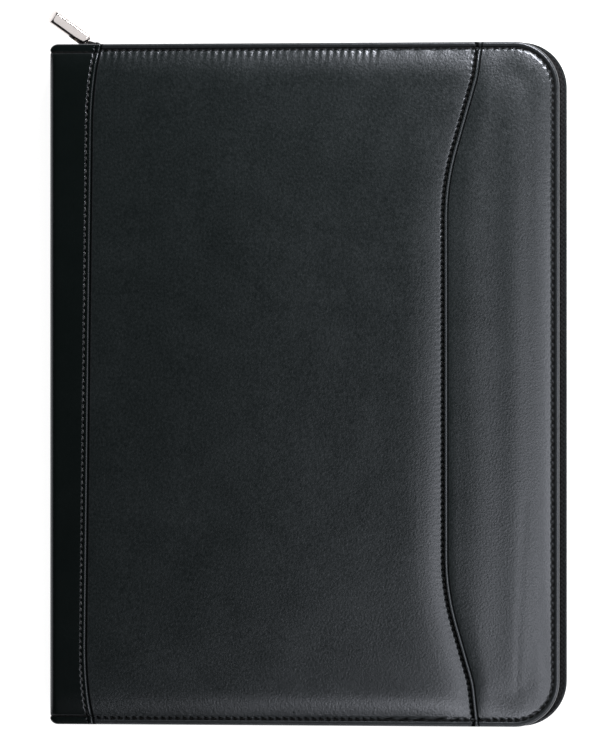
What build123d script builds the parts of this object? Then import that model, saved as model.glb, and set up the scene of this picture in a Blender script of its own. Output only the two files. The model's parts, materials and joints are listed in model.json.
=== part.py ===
from build123d import *
import math
import os

os.makedirs("parts", exist_ok=True)

# A zippered padfolio, closed and lying on its back cover, in millimetres.
# X runs from the spine to the opening edge, Y from tail to head, Z up from the resting face.

# Writing pad, which the case is cut to hold
PAD_W = 216.0
PAD_H = 298.0
PAD_SPINE = 36.5  # spine's outer face to the pad
PAD_EDGE = 8.5  # pad to the opening edge
PAD_END = 22.5  # pad to the head and tail edges
CARD_T = 0.7
PAPER_T = 6.0
BINDING_T = 0.4
BINDING_REACH = 25.0

# Closed case
CORNER_R = 23.0  # corners on the opening side
SPINE_CORNER_R = 4.0  # corners on the spine side
INNER_GAP = 16.6  # from lining to lining

# Layers of one cover
LEATHER_T = 1.0
FOAM_T = 1.6
BOARD_T = 2.0
LINING_T = 0.8
RIM_W = 4.0  # flat sewn rim
SLOPE_W = 6.0  # run of the padded slope inside the rim
BOARD_INSET = 8.0
FOAM_CLEAR = 0.3  # between the foam's edge and the slope
LINING_CLEAR = 0.6  # between the lining's edge and the zip tape
LAYER_CLEAR = 0.3  # between the fold and the ends of the stiff layers

# Spine
FOLD_R = 4.0  # outer radius of the two leather folds
FOLD_CLEAR = 0.3  # running gap round each fold
FOLD_SPAN = 140.0  # degrees of leather in each fold
SPINE_BOARD_T = 1.5
SPINE_BOARD_INSET = 6.0
SPINE_LINING_INSET = 5.0
WING_W = 20.4  # spine panel's reach over each cover
WING_SLANT = 1.95  # how much further the panel's edge reaches at the head than half way
WING_FLARE = 4.0  # how far the edge flares out at the head and the tail
WING_FLARE_LENGTH = 42.0
SEAM_GAP = 0.2  # butted seam on the back cover

# Slip pocket on the front cover
POCKET_EDGE = 55.8  # opening edge of the cover to the pocket's straight mouth
POCKET_LEAN = 15.6  # degrees that the mouth leans out in each sweep
POCKET_END_LEAN = 5.0  # degrees left at the head and the tail
POCKET_LEAN_HEAD = 71.0  # head to where the mouth leans out
POCKET_TURN_HEAD = 16.7  # head to where it turns back
POCKET_LEAN_TAIL = 68.0
POCKET_TURN_TAIL = 21.7
POCKET_BEND_R = 125.0  # bend where the mouth leans out
POCKET_TURN_R = 50.0  # bend where it turns back

# Zip
ZIP_INSET = 4.5  # cover edge to the middle of the tape wall
ZIP_START = 10.5  # spine's outer face to the tape's end
TAPE_T = 0.8
FLANGE_INSET = 1.0  # cover edge to the edge of the sewn tape
ROW_T = 2.4  # row of teeth, through the wall
ROW_H = 2.2
STOP_L = 2.5
STOP_PROUD = 0.3

# Zip slider
SLIDER_L = 12.0
SLIDER_GAP = 2.5  # stop to slider
SLIDER_PLATE_T = 1.0
SLIDER_FLANGE_T = 1.0
SLIDER_CLEAR = 0.3
SLOT_CLEAR = 0.35  # each side of the tape
POST_L = 3.0
POST_T = 0.8
POST_CLEAR = 0.2  # between the post and each row
SLIDER_CORNER_R = 2.0
ARCH_SPAN = 5.0  # outer length of the arch along the zip
ARCH_T = 1.0
ARCH_BAND = 2.2  # width of the arch

# Pull link and pull
LINK_PIN_R = 0.5
LINK_PIN_CLEAR = 0.25
LINK_END_R = 1.2
LINK_PLATE_T = 0.8
LINK_PLATE_GAP = 0.25  # between a plate and the arch or the tang
LINK_L = 3.6  # pin to pin
LINK_ANGLE = 162.0  # direction of the link, from +X
PULL_ANGLE = 145.0  # direction of the pull, from +X
PULL_L = 26.0  # pin to tip
PULL_W = 7.2
PULL_T = 4.0
TANG_R = 1.3
TANG_T = 2.0
TANG_NECK = 1.6  # pin to where the tang starts to widen
PULL_SHOULDER = 2.6  # pin to full width
PULL_TIP_SLANT = 40.0  # degrees that the end facet leans back

# Sleeve for the pad's card
SLEEVE_T = 0.8
SLEEVE_H = 115.0
SLEEVE_BORDER = 2.4
SLEEVE_FOOT = 11.0
SLEEVE_SIDE = 6.0
CARD_FIT = 0.4

# Pen loop
PEN_R = 5.5
PEN_LOOP_T = 0.7
PEN_LOOP_L = 25.0
PEN_LOOP_Y = 30.0
PEN_TAB_W = 13.0
PEN_TAB_GAP = 0.5  # tab to sleeve

# Pockets inside the front cover
POCKET_T = 0.8
WELT_T = 0.6
WELT_W = 6.0
ORGANISER_SPINE = 30.0  # spine's outer face to the pockets
ORGANISER_EDGE = 11.0  # opening edge of the cover to the pockets
ORGANISER_TAIL = 14.0  # tail edge of the cover to the pockets
ORGANISER_HEAD = 27.0  # head edge of the cover to the pockets
DOCUMENT_GAP = 6.0  # document pocket's mouth to the pockets above it
DOCUMENT_SLANT = 30.0  # how far the mouth drops towards the spine
CARD_POCKET_H = 54.0
CARD_POCKET_STEP = 25.0
CARD_POCKET_GAP = 14.0  # card pockets to the window pocket
WINDOW_T = 0.4
WINDOW_W = 84.0
WINDOW_H = 54.0
WINDOW_LAP = 5.0
WINDOW_BORDER = 9.0
WINDOW_FIT = 0.2

# Levels and places that follow
COVER_W = PAD_SPINE + PAD_W + PAD_EDGE
COVER_H = PAD_H + 2 * PAD_END
HALF_W = COVER_W / 2
HALF_H = COVER_H / 2
COVER_T = LINING_T + BOARD_T + FOAM_T + LEATHER_T
BACK_IN = COVER_T
FRONT_IN = BACK_IN + INNER_GAP
RIM_LEVEL = LINING_T + TAPE_T  # lining face to the rim leather
RISE = BOARD_T + FOAM_T - TAPE_T
WING_OUT = FRONT_IN + COVER_T + 2 * LEATHER_T
BACK_HINGE_Z = FOLD_R
FRONT_HINGE_Z = WING_OUT - FOLD_R
HINGE_X = FOLD_R - HALF_W
COVER_LEFT = HINGE_X + FOLD_R + FOLD_CLEAR
LAYER_LEFT = COVER_LEFT + LAYER_CLEAR
WING_EDGE = WING_W - HALF_W
ZIP_LEFT = ZIP_START - HALF_W
ROW_LEFT = ZIP_LEFT + STOP_L
LINING_INSET = ZIP_INSET + TAPE_T / 2 + LINING_CLEAR
ZIP_Y = HALF_H - ZIP_INSET
ZIP_Z = (BACK_IN + FRONT_IN) / 2
SLIT = POST_T + 2 * POST_CLEAR  # between the two rows
LOWER_ROW_BACK = ZIP_Z - SLIT / 2 - ROW_H
UPPER_ROW_FACE = ZIP_Z + SLIT / 2
UPPER_ROW_BACK = UPPER_ROW_FACE + ROW_H
SLIDER_X = ROW_LEFT + SLIDER_GAP + SLIDER_L / 2

# Planes at each cover's lining, looking outwards
BACK = Plane(origin=(0, 0, BACK_IN), x_dir=(1, 0, 0), z_dir=(0, 0, -1))
FRONT = Plane(origin=(0, 0, FRONT_IN), x_dir=(1, 0, 0), z_dir=(0, 0, 1))


def cover_outline(inset, left):
    """Outline of a cover, drawn in on its three open edges, with its spine side straight at x = left."""
    right = HALF_W - inset
    half = HALF_H - inset
    with BuildSketch(Plane.XY, mode=Mode.PRIVATE) as outline:
        with BuildLine():
            Polyline((left, -half), (right, -half), (right, half), (left, half), close=True)
        make_face()
        fillet(outline.vertices().group_by(Axis.X)[-1], CORNER_R - inset)
    return outline.sketch


def zip_band(outer_inset, inner_inset, left):
    """Band that follows the three open edges between two insets, with both ends at x = left."""
    with BuildSketch(Plane.XY, mode=Mode.PRIVATE) as band:
        add(cover_outline(outer_inset, left))
        add(cover_outline(inner_inset, left), mode=Mode.SUBTRACT)
    return band.sketch


def crowned_sheet(plane, left):
    """Leather over a padded cover: a flat sewn rim, a slope and a raised flat middle, one leather thick."""
    with BuildPart(mode=Mode.PRIVATE) as sheet:
        with BuildSketch(plane):
            add(cover_outline(0, left))
        extrude(amount=LEATHER_T)
        with BuildSketch(plane.offset(LEATHER_T)):
            add(cover_outline(RIM_W, left))
        with BuildSketch(plane.offset(LEATHER_T + RISE)):
            add(cover_outline(RIM_W + SLOPE_W, left))
        loft(ruled=True)
        with BuildSketch(plane):
            add(cover_outline(RIM_W, left))
        with BuildSketch(plane.offset(RISE)):
            add(cover_outline(RIM_W + SLOPE_W, left))
        loft(ruled=True, mode=Mode.SUBTRACT)
    return sheet.part


def wing_region(reach):
    """Upright prism over the spine panel's wing, whose edge slants a little and flares out at the head and the tail."""
    edge = WING_EDGE + reach
    start = HALF_H - WING_FLARE_LENGTH
    drift = WING_SLANT * start / HALF_H
    head_start, tail_start = (edge + drift, start), (edge - drift, -start)
    head_end, tail_end = (edge + WING_SLANT + WING_FLARE, HALF_H), (edge - WING_SLANT + WING_FLARE, -HALF_H)
    with BuildPart(mode=Mode.PRIVATE) as region:
        with BuildSketch():
            with BuildLine():
                Line(tail_start, head_start)
                TangentArc(head_start, head_end, tangent=(WING_SLANT, HALF_H))
                TangentArc(tail_start, tail_end, tangent=(-WING_SLANT, -HALF_H))
                Polyline(head_end, (-HALF_W, HALF_H), (-HALF_W, -HALF_H), tail_end)
            make_face()
        extrude(amount=WING_OUT)
    return region.part


def pocket_region():
    """Upright prism on the spine side of the slip pocket's mouth, which sweeps out in an S at both ends."""
    straight = HALF_W - POCKET_EDGE
    lean, end_lean = math.tan(math.radians(POCKET_LEAN)), math.tan(math.radians(POCKET_END_LEAN))
    head_turn = straight + lean * (POCKET_LEAN_HEAD - POCKET_TURN_HEAD)
    tail_turn = straight + lean * (POCKET_LEAN_TAIL - POCKET_TURN_TAIL)
    bends = [(straight, HALF_H - POCKET_LEAN_HEAD), (straight, POCKET_LEAN_TAIL - HALF_H)]
    turns = [(head_turn, HALF_H - POCKET_TURN_HEAD), (tail_turn, POCKET_TURN_TAIL - HALF_H)]
    with BuildPart(mode=Mode.PRIVATE) as region:
        with BuildSketch() as outline:
            with BuildLine():
                Polyline(
                    (COVER_LEFT, HALF_H),
                    (head_turn + end_lean * POCKET_TURN_HEAD, HALF_H),
                    turns[0],
                    bends[0],
                    bends[1],
                    turns[1],
                    (tail_turn + end_lean * POCKET_TURN_TAIL, -HALF_H),
                    (COVER_LEFT, -HALF_H),
                    close=True,
                )
            make_face()
            for corners, radius in ((bends, POCKET_BEND_R), (turns, POCKET_TURN_R)):
                fillet([outline.vertices().sort_by_distance(corner)[0] for corner in corners], radius)
        extrude(amount=WING_OUT)
    return region.part


def fold_room(hinge_z):
    """Round room for a fold and its running gap, along the whole spine."""
    with BuildPart(mode=Mode.PRIVATE) as room:
        with BuildSketch(Plane.XZ):
            with Locations((HINGE_X, hinge_z)):
                Circle(FOLD_R + FOLD_CLEAR)
        extrude(amount=HALF_H, both=True)
    return room.part


def save(piece, name):
    """Labels a finished piece and writes it under its own name."""
    piece.part.label = name
    export_step(piece.part, f"parts/{name}.step")


# Outer leather of the back cover and the spine panel's wing, butted at one seam
with BuildPart() as back_leather:
    add(crowned_sheet(BACK.offset(RIM_LEVEL), COVER_LEFT))
    add(wing_region(SEAM_GAP), mode=Mode.SUBTRACT)
save(back_leather, "back_leather")

with BuildPart() as spine_wing_back:
    add(crowned_sheet(BACK.offset(RIM_LEVEL), HINGE_X))
    add(wing_region(0), mode=Mode.INTERSECT)
    add(fold_room(BACK_HINGE_Z), mode=Mode.SUBTRACT)
save(spine_wing_back, "spine_wing_back")

# Outer leather of the front cover, the slip pocket sewn over it and the spine panel's wing on top
with BuildPart() as front_leather:
    add(crowned_sheet(FRONT.offset(RIM_LEVEL), COVER_LEFT))
save(front_leather, "front_leather")

with BuildPart() as front_pocket_panel:
    add(crowned_sheet(FRONT.offset(RIM_LEVEL + LEATHER_T), COVER_LEFT))
    add(pocket_region(), mode=Mode.INTERSECT)
save(front_pocket_panel, "front_pocket_panel")

with BuildPart() as spine_wing_front:
    add(crowned_sheet(FRONT.offset(RIM_LEVEL + 2 * LEATHER_T), HINGE_X))
    add(wing_region(0), mode=Mode.INTERSECT)
    add(fold_room(FRONT_HINGE_Z), mode=Mode.SUBTRACT)
save(spine_wing_front, "spine_wing_front")

# Board, foam and lining inside each cover
for side, plane in (("back", BACK), ("front", FRONT)):
    with BuildPart() as board:
        with BuildSketch(plane.offset(LINING_T)):
            add(cover_outline(BOARD_INSET, LAYER_LEFT))
        extrude(amount=BOARD_T)
    save(board, f"{side}_board")

    with BuildPart() as foam:
        with BuildSketch(plane.offset(LINING_T + BOARD_T)):
            add(cover_outline(BOARD_INSET, LAYER_LEFT))
        with BuildSketch(plane.offset(LINING_T + BOARD_T + FOAM_T)):
            add(cover_outline(RIM_W + SLOPE_W + FOAM_CLEAR, LAYER_LEFT))
        loft(ruled=True)
    save(foam, f"{side}_foam")

    with BuildPart() as lining:
        with BuildSketch(plane):
            add(cover_outline(LINING_INSET, LAYER_LEFT))
        extrude(amount=LINING_T)
    save(lining, f"{side}_lining")

# Spine panel between the covers: one leather wall with a fold at each cover
OUTER_X = -HALF_W
INNER_X = OUTER_X + LEATHER_T
FOLD_INNER_R = FOLD_R - LEATHER_T
with BuildPart() as spine_leather:
    with BuildSketch(Plane.XZ):
        with BuildLine():
            back_outer = CenterArc((HINGE_X, BACK_HINGE_Z), FOLD_R, 180, FOLD_SPAN)
            back_inner = CenterArc((HINGE_X, BACK_HINGE_Z), FOLD_INNER_R, 180, FOLD_SPAN)
            Line(back_outer @ 1, back_inner @ 1)
            front_outer = CenterArc((HINGE_X, FRONT_HINGE_Z), FOLD_R, 180, -FOLD_SPAN)
            front_inner = CenterArc((HINGE_X, FRONT_HINGE_Z), FOLD_INNER_R, 180, -FOLD_SPAN)
            Line(front_outer @ 1, front_inner @ 1)
            Line((OUTER_X, BACK_HINGE_Z), (OUTER_X, FRONT_HINGE_Z))
            Line((INNER_X, BACK_HINGE_Z), (INNER_X, FRONT_HINGE_Z))
        make_face()
    extrude(amount=HALF_H, both=True)
    with BuildSketch():
        with Locations((HALF_W, 0)):
            Rectangle(2 * COVER_W, COVER_H)
        fillet(vertices().group_by(Axis.X)[0], SPINE_CORNER_R)
    extrude(amount=WING_OUT, mode=Mode.INTERSECT)
save(spine_leather, "spine_leather")

with BuildPart() as spine_board:
    with BuildSketch(Plane.XY.offset(BACK_HINGE_Z)):
        with Locations((INNER_X, 0)):
            Rectangle(SPINE_BOARD_T, COVER_H - 2 * SPINE_BOARD_INSET, align=(Align.MIN, Align.CENTER))
    extrude(amount=FRONT_HINGE_Z - BACK_HINGE_Z)
save(spine_board, "spine_board")

with BuildPart() as spine_lining:
    with BuildSketch(Plane.XY.offset(BACK_HINGE_Z)):
        with Locations((INNER_X + SPINE_BOARD_T, 0)):
            Rectangle(LINING_T, COVER_H - 2 * SPINE_LINING_INSET, align=(Align.MIN, Align.CENTER))
    extrude(amount=FRONT_HINGE_Z - BACK_HINGE_Z)
save(spine_lining, "spine_lining")

# Zip tapes: a flange sewn to the cover's rim and a wall that stands up to the teeth
WALL_OUTER = ZIP_INSET - TAPE_T / 2
WALL_INNER = ZIP_INSET + TAPE_T / 2
TAPE_FOOT = BACK_IN - RIM_LEVEL
TAPE_HEAD = FRONT_IN + RIM_LEVEL
with BuildPart() as lower_zip_tape:
    with BuildSketch(Plane.XY.offset(TAPE_FOOT)):
        add(zip_band(FLANGE_INSET, WALL_INNER, ZIP_LEFT))
    extrude(amount=TAPE_T)
    with BuildSketch(Plane.XY.offset(TAPE_FOOT)):
        add(zip_band(WALL_OUTER, WALL_INNER, ZIP_LEFT))
    extrude(amount=LOWER_ROW_BACK - TAPE_FOOT)
save(lower_zip_tape, "lower_zip_tape")

with BuildPart() as upper_zip_tape:
    with BuildSketch(Plane.XY.offset(TAPE_HEAD)):
        add(zip_band(FLANGE_INSET, WALL_INNER, ZIP_LEFT))
    extrude(amount=-TAPE_T)
    with BuildSketch(Plane.XY.offset(TAPE_HEAD)):
        add(zip_band(WALL_OUTER, WALL_INNER, ZIP_LEFT))
    extrude(amount=UPPER_ROW_BACK - TAPE_HEAD)
save(upper_zip_tape, "upper_zip_tape")

# Rows of teeth: the upper row is undone as far as the slider
ROW_OUTER = ZIP_INSET - ROW_T / 2
ROW_INNER = ZIP_INSET + ROW_T / 2
SLIDER_END = SLIDER_X + SLIDER_L / 2
with BuildPart() as lower_zip_row:
    with BuildSketch(Plane.XY.offset(LOWER_ROW_BACK)):
        add(zip_band(ROW_OUTER, ROW_INNER, ROW_LEFT))
    extrude(amount=ROW_H)
save(lower_zip_row, "lower_zip_row")

with BuildPart() as upper_zip_row:
    with BuildSketch(Plane.XY.offset(UPPER_ROW_FACE)):
        add(zip_band(ROW_OUTER, ROW_INNER, ROW_LEFT))
        with Locations((SLIDER_END + SLIDER_CLEAR, 0)):
            Rectangle(COVER_W, COVER_H, align=(Align.MAX, Align.MIN), mode=Mode.SUBTRACT)
    extrude(amount=ROW_H)
save(upper_zip_row, "upper_zip_row")

# Stops clamped on the tapes' edges at both ends
STOP_T = ROW_T + 2 * STOP_PROUD
for name, level in (("lower_zip_stops", LOWER_ROW_BACK), ("upper_zip_stops", UPPER_ROW_FACE)):
    with BuildPart() as stops:
        with BuildSketch(Plane.XY.offset(level)):
            with Locations((ZIP_LEFT, ZIP_Y), (ZIP_LEFT, -ZIP_Y)):
                Rectangle(STOP_L, STOP_T, align=(Align.MIN, Align.CENTER))
        extrude(amount=ROW_H)
    save(stops, name)

# Slider: two plates round the rows, flanges that hold them, a post in the slit and an arch for the link
CHANNEL_Y = ROW_T / 2 + SLIDER_CLEAR
CHANNEL_Z = SLIT / 2 + ROW_H + SLIDER_CLEAR
PLATE_Y = CHANNEL_Y + SLIDER_PLATE_T
FLANGE_Z = CHANNEL_Z + SLIDER_FLANGE_T
PIVOT_Y = PLATE_Y + LINK_END_R + LINK_PIN_CLEAR
ARCH_INNER = PIVOT_Y + LINK_PIN_R + LINK_PIN_CLEAR
ARCH_OUTER = ARCH_INNER + ARCH_T
ZIP_PLANE = Plane(origin=(SLIDER_X, ZIP_Y, ZIP_Z), x_dir=(1, 0, 0), z_dir=(0, 1, 0))
with BuildPart() as zip_slider:
    with BuildSketch(ZIP_PLANE):
        RectangleRounded(SLIDER_L, 2 * FLANGE_Z, SLIDER_CORNER_R)
    extrude(amount=PLATE_Y, both=True)
    with BuildSketch(ZIP_PLANE):
        Rectangle(SLIDER_L, 2 * CHANNEL_Z)
    extrude(amount=CHANNEL_Y, both=True, mode=Mode.SUBTRACT)
    with BuildSketch(ZIP_PLANE):
        Rectangle(SLIDER_L, 2 * FLANGE_Z)
    extrude(amount=TAPE_T / 2 + SLOT_CLEAR, both=True, mode=Mode.SUBTRACT)
    with BuildSketch(ZIP_PLANE):
        with Locations(((SLIDER_L - POST_L) / 2, 0)):
            Rectangle(POST_L, POST_T)
    extrude(amount=CHANNEL_Y, both=True)
    with BuildSketch(Plane.XY.offset(ZIP_Z)):
        with Locations((SLIDER_X, ZIP_Y + PLATE_Y)):
            Ellipse(ARCH_SPAN / 2, ARCH_OUTER - PLATE_Y)
            Ellipse(ARCH_SPAN / 2 - ARCH_T, ARCH_INNER - PLATE_Y, mode=Mode.SUBTRACT)
            Rectangle(ARCH_SPAN, ARCH_OUTER, align=(Align.CENTER, Align.MAX), mode=Mode.SUBTRACT)
    extrude(amount=ARCH_BAND / 2, both=True)
save(zip_slider, "zip_slider")

# Link: two plates with a pin through the arch and a pin through the pull
LINK_X, LINK_Y = math.cos(math.radians(LINK_ANGLE)), math.sin(math.radians(LINK_ANGLE))
LINK_PIVOT = Vector(SLIDER_X, ZIP_Y + PIVOT_Y, ZIP_Z)
LINK_PLANE = Plane(origin=LINK_PIVOT, x_dir=(LINK_X, LINK_Y, 0), z_dir=(0, 0, 1))
LINK_INNER = max(ARCH_BAND, TANG_T) / 2 + LINK_PLATE_GAP
with BuildPart() as pull_link:
    for direction in (1, -1):
        with BuildSketch(LINK_PLANE.offset(direction * LINK_INNER)):
            with Locations((LINK_L / 2, 0)):
                SlotCenterToCenter(LINK_L, 2 * LINK_END_R)
        extrude(amount=direction * LINK_PLATE_T)
    with BuildSketch(LINK_PLANE):
        with Locations((0, 0), (LINK_L, 0)):
            Circle(LINK_PIN_R)
    extrude(amount=LINK_INNER, both=True)
save(pull_link, "pull_link")

# Pull: a tang with an eye, widening into a lens-shaped bar whose end facet leans back
PULL_X, PULL_Y = math.cos(math.radians(PULL_ANGLE)), math.sin(math.radians(PULL_ANGLE))
PULL_PIVOT = LINK_PLANE.from_local_coords(Vector(LINK_L, 0, 0))
PULL_PLANE = Plane(origin=PULL_PIVOT, x_dir=(PULL_X, PULL_Y, 0), z_dir=(0, 0, 1))
BAR_PLANE = Plane(origin=PULL_PIVOT, x_dir=(-PULL_Y, PULL_X, 0), z_dir=(PULL_X, PULL_Y, 0))
TIP_LEAN = PULL_T * math.tan(math.radians(PULL_TIP_SLANT))
with BuildPart() as zip_pull:
    with BuildSketch(PULL_PLANE.offset(-PULL_T / 2)):
        with BuildLine():
            Polyline(
                (TANG_NECK, -TANG_R),
                (PULL_SHOULDER, -PULL_W / 2),
                (PULL_L, -PULL_W / 2),
                (PULL_L, PULL_W / 2),
                (PULL_SHOULDER, PULL_W / 2),
                (TANG_NECK, TANG_R),
                close=True,
            )
        make_face()
    extrude(amount=PULL_T)
    with BuildSketch(BAR_PLANE):
        with BuildLine():
            ThreePointArc((-PULL_W / 2, 0), (0, PULL_T / 2), (PULL_W / 2, 0))
            ThreePointArc((-PULL_W / 2, 0), (0, -PULL_T / 2), (PULL_W / 2, 0))
        make_face()
    extrude(amount=PULL_L, mode=Mode.INTERSECT)
    with BuildSketch(PULL_PLANE):
        with Locations((TANG_NECK, 0)):
            Rectangle(TANG_NECK, 2 * TANG_R, align=(Align.MAX, Align.CENTER))
        Circle(TANG_R)
    extrude(amount=TANG_T / 2, both=True)
    with BuildSketch(PULL_PLANE):
        Circle(LINK_PIN_R + LINK_PIN_CLEAR)
    extrude(amount=TANG_T / 2, both=True, mode=Mode.SUBTRACT)
    with BuildSketch(Plane(origin=PULL_PIVOT, x_dir=(PULL_X, PULL_Y, 0), z_dir=(PULL_Y, -PULL_X, 0))):
        with BuildLine():
            Polyline(
                (PULL_L, -PULL_T / 2),
                (PULL_L, PULL_T / 2),
                (PULL_L - TIP_LEAN, PULL_T / 2),
                close=True,
            )
        make_face()
    extrude(amount=PULL_W, both=True, mode=Mode.SUBTRACT)
save(zip_pull, "zip_pull")

# Writing pad: its backing card is tucked behind a sleeve on the back lining
PAD_RIGHT = HALF_W - PAD_EDGE
PAD_LEFT = PAD_RIGHT - PAD_W
PAD_FOOT = -PAD_H / 2
PAD_HEAD = PAD_H / 2
CARD_TOP = BACK_IN + CARD_T
SLEEVE_TOP = CARD_TOP + SLEEVE_T
PAPER_TOP = SLEEVE_TOP + PAPER_T
CORNER_MIN = (Align.MIN, Align.MIN)
with BuildPart() as pad_backing_card:
    with BuildSketch(Plane.XY.offset(BACK_IN)):
        with Locations((PAD_LEFT, PAD_FOOT)):
            Rectangle(PAD_W, PAD_H, align=CORNER_MIN)
    extrude(amount=CARD_T)
save(pad_backing_card, "pad_backing_card")

with BuildPart() as pad_paper:
    with BuildSketch(Plane.XY.offset(SLEEVE_TOP)):
        with Locations((PAD_LEFT, PAD_FOOT)):
            Rectangle(PAD_W, PAD_H, align=CORNER_MIN)
    extrude(amount=PAPER_T)
save(pad_paper, "pad_paper")

with BuildPart() as pad_binding:
    with BuildSketch(Plane.XY.offset(PAPER_TOP)):
        with Locations((PAD_LEFT, PAD_HEAD + BINDING_T)):
            Rectangle(PAD_W, BINDING_REACH, align=(Align.MIN, Align.MAX))
    extrude(amount=BINDING_T)
    with BuildSketch(Plane.XY.offset(BACK_IN)):
        with Locations((PAD_LEFT, PAD_HEAD)):
            Rectangle(PAD_W, BINDING_T, align=CORNER_MIN)
    extrude(amount=PAPER_TOP + BINDING_T - BACK_IN)
save(pad_binding, "pad_binding")

SLEEVE_LEFT = PAD_LEFT - SLEEVE_SIDE
SLEEVE_W = PAD_W + SLEEVE_SIDE + SLEEVE_BORDER
SLEEVE_BOTTOM = PAD_FOOT - SLEEVE_FOOT
with BuildPart() as pad_sleeve_welts:
    with BuildSketch(Plane.XY.offset(BACK_IN)):
        with Locations((SLEEVE_LEFT, SLEEVE_BOTTOM)):
            Rectangle(SLEEVE_W, SLEEVE_H, align=CORNER_MIN)
        with Locations((PAD_LEFT - CARD_FIT, PAD_FOOT - CARD_FIT)):
            Rectangle(PAD_W + 2 * CARD_FIT, PAD_H, align=CORNER_MIN, mode=Mode.SUBTRACT)
        add(cover_outline(LINING_INSET, LAYER_LEFT), mode=Mode.INTERSECT)
    extrude(amount=CARD_T)
save(pad_sleeve_welts, "pad_sleeve_welts")

with BuildPart() as pad_sleeve:
    with BuildSketch(Plane.XY.offset(CARD_TOP)):
        with Locations((SLEEVE_LEFT, SLEEVE_BOTTOM)):
            Rectangle(SLEEVE_W, SLEEVE_H, align=CORNER_MIN)
        add(cover_outline(LINING_INSET, LAYER_LEFT), mode=Mode.INTERSECT)
    extrude(amount=SLEEVE_T)
save(pad_sleeve, "pad_sleeve")

# Pen loop: a leather ring on a flat tab sewn to the back lining beside the spine
PEN_X = SLEEVE_LEFT - PEN_TAB_GAP - PEN_TAB_W / 2
PEN_Z = BACK_IN + PEN_LOOP_T + PEN_R
with BuildPart() as pen_loop:
    with BuildSketch(Plane.XZ.offset(-PEN_LOOP_Y)):
        with Locations((PEN_X, PEN_Z)):
            Circle(PEN_R + PEN_LOOP_T)
        with Locations((PEN_X, BACK_IN)):
            Rectangle(PEN_TAB_W, PEN_LOOP_T, align=(Align.CENTER, Align.MIN))
        with Locations((PEN_X, PEN_Z)):
            Circle(PEN_R, mode=Mode.SUBTRACT)
    extrude(amount=PEN_LOOP_L / 2, both=True)
save(pen_loop, "pen_loop")

# Document pocket inside the front cover, with a slanted mouth, on welts along its three sewn edges
DOCUMENT_LEFT = ORGANISER_SPINE - HALF_W
DOCUMENT_RIGHT = HALF_W - ORGANISER_EDGE
DOCUMENT_FOOT = ORGANISER_TAIL - HALF_H
CARD_FOOT = HALF_H - ORGANISER_HEAD - CARD_POCKET_H - 2 * CARD_POCKET_STEP
DOCUMENT_MOUTH = CARD_FOOT - DOCUMENT_GAP


def document_face(margin):
    """Face of the document pocket, drawn in by margin on its three sewn edges and open at its mouth."""
    with BuildSketch(Plane.XY, mode=Mode.PRIVATE) as face:
        with BuildLine():
            Polyline(
                (DOCUMENT_LEFT + margin, DOCUMENT_FOOT + margin),
                (DOCUMENT_RIGHT - margin, DOCUMENT_FOOT + margin),
                (DOCUMENT_RIGHT - margin, DOCUMENT_MOUTH),
                (DOCUMENT_LEFT + margin, DOCUMENT_MOUTH - DOCUMENT_SLANT),
                close=True,
            )
        make_face()
    return face.sketch


with BuildPart() as document_pocket_welts:
    with BuildSketch(Plane.XY.offset(FRONT_IN)):
        add(document_face(0))
        add(document_face(WELT_W), mode=Mode.SUBTRACT)
    extrude(amount=-WELT_T)
    with BuildSketch(Plane.XY.offset(FRONT_IN)):
        with Locations((DOCUMENT_LEFT + WELT_W, DOCUMENT_FOOT + WELT_W)):
            Rectangle(
                DOCUMENT_RIGHT - DOCUMENT_LEFT - 2 * WELT_W,
                DOCUMENT_MOUTH - DOCUMENT_FOOT,
                align=CORNER_MIN,
            )
    extrude(amount=-WELT_T, mode=Mode.SUBTRACT)
save(document_pocket_welts, "document_pocket_welts")

with BuildPart() as document_pocket:
    with BuildSketch(Plane.XY.offset(FRONT_IN - WELT_T)):
        add(document_face(0))
    extrude(amount=-POCKET_T)
save(document_pocket, "document_pocket")

# Three card pockets in steps, each lying on the one behind it
FRAME_W = WINDOW_W + 2 * WINDOW_BORDER
FRAME_H = WINDOW_H + 2 * WINDOW_BORDER
CARD_POCKET_W = DOCUMENT_RIGHT - DOCUMENT_LEFT - FRAME_W - CARD_POCKET_GAP
for layer, name in enumerate(("card_pocket_upper", "card_pocket_middle", "card_pocket_lower")):
    with BuildPart() as card_pocket:
        with BuildSketch(Plane.XY.offset(FRONT_IN - layer * POCKET_T)):
            with Locations((DOCUMENT_LEFT, CARD_FOOT)):
                height = CARD_POCKET_H + (2 - layer) * CARD_POCKET_STEP
                Rectangle(CARD_POCKET_W, height, align=CORNER_MIN)
        extrude(amount=-POCKET_T)
    save(card_pocket, name)

# Window pocket for an identity card: a clear sheet behind a frame
FRAME_PLACE = (DOCUMENT_RIGHT - FRAME_W / 2, CARD_FOOT + FRAME_H / 2)
with BuildPart() as id_window:
    with BuildSketch(Plane.XY.offset(FRONT_IN)):
        with Locations(FRAME_PLACE):
            Rectangle(WINDOW_W + 2 * WINDOW_LAP, WINDOW_H + 2 * WINDOW_LAP)
    extrude(amount=-WINDOW_T)
save(id_window, "id_window")

with BuildPart() as id_window_frame:
    with BuildSketch(Plane.XY.offset(FRONT_IN)):
        with Locations(FRAME_PLACE):
            Rectangle(FRAME_W, FRAME_H)
    extrude(amount=-(WINDOW_T + POCKET_T))
    with BuildSketch(Plane.XY.offset(FRONT_IN)):
        with Locations(FRAME_PLACE):
            Rectangle(WINDOW_W + 2 * (WINDOW_LAP + WINDOW_FIT), WINDOW_H + 2 * (WINDOW_LAP + WINDOW_FIT))
    extrude(amount=-WINDOW_T, mode=Mode.SUBTRACT)
    with BuildSketch(Plane.XY.offset(FRONT_IN)):
        with Locations(FRAME_PLACE):
            Rectangle(WINDOW_W, WINDOW_H)
    extrude(amount=-(WINDOW_T + POCKET_T), mode=Mode.SUBTRACT)
save(id_window_frame, "id_window_frame")
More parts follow.
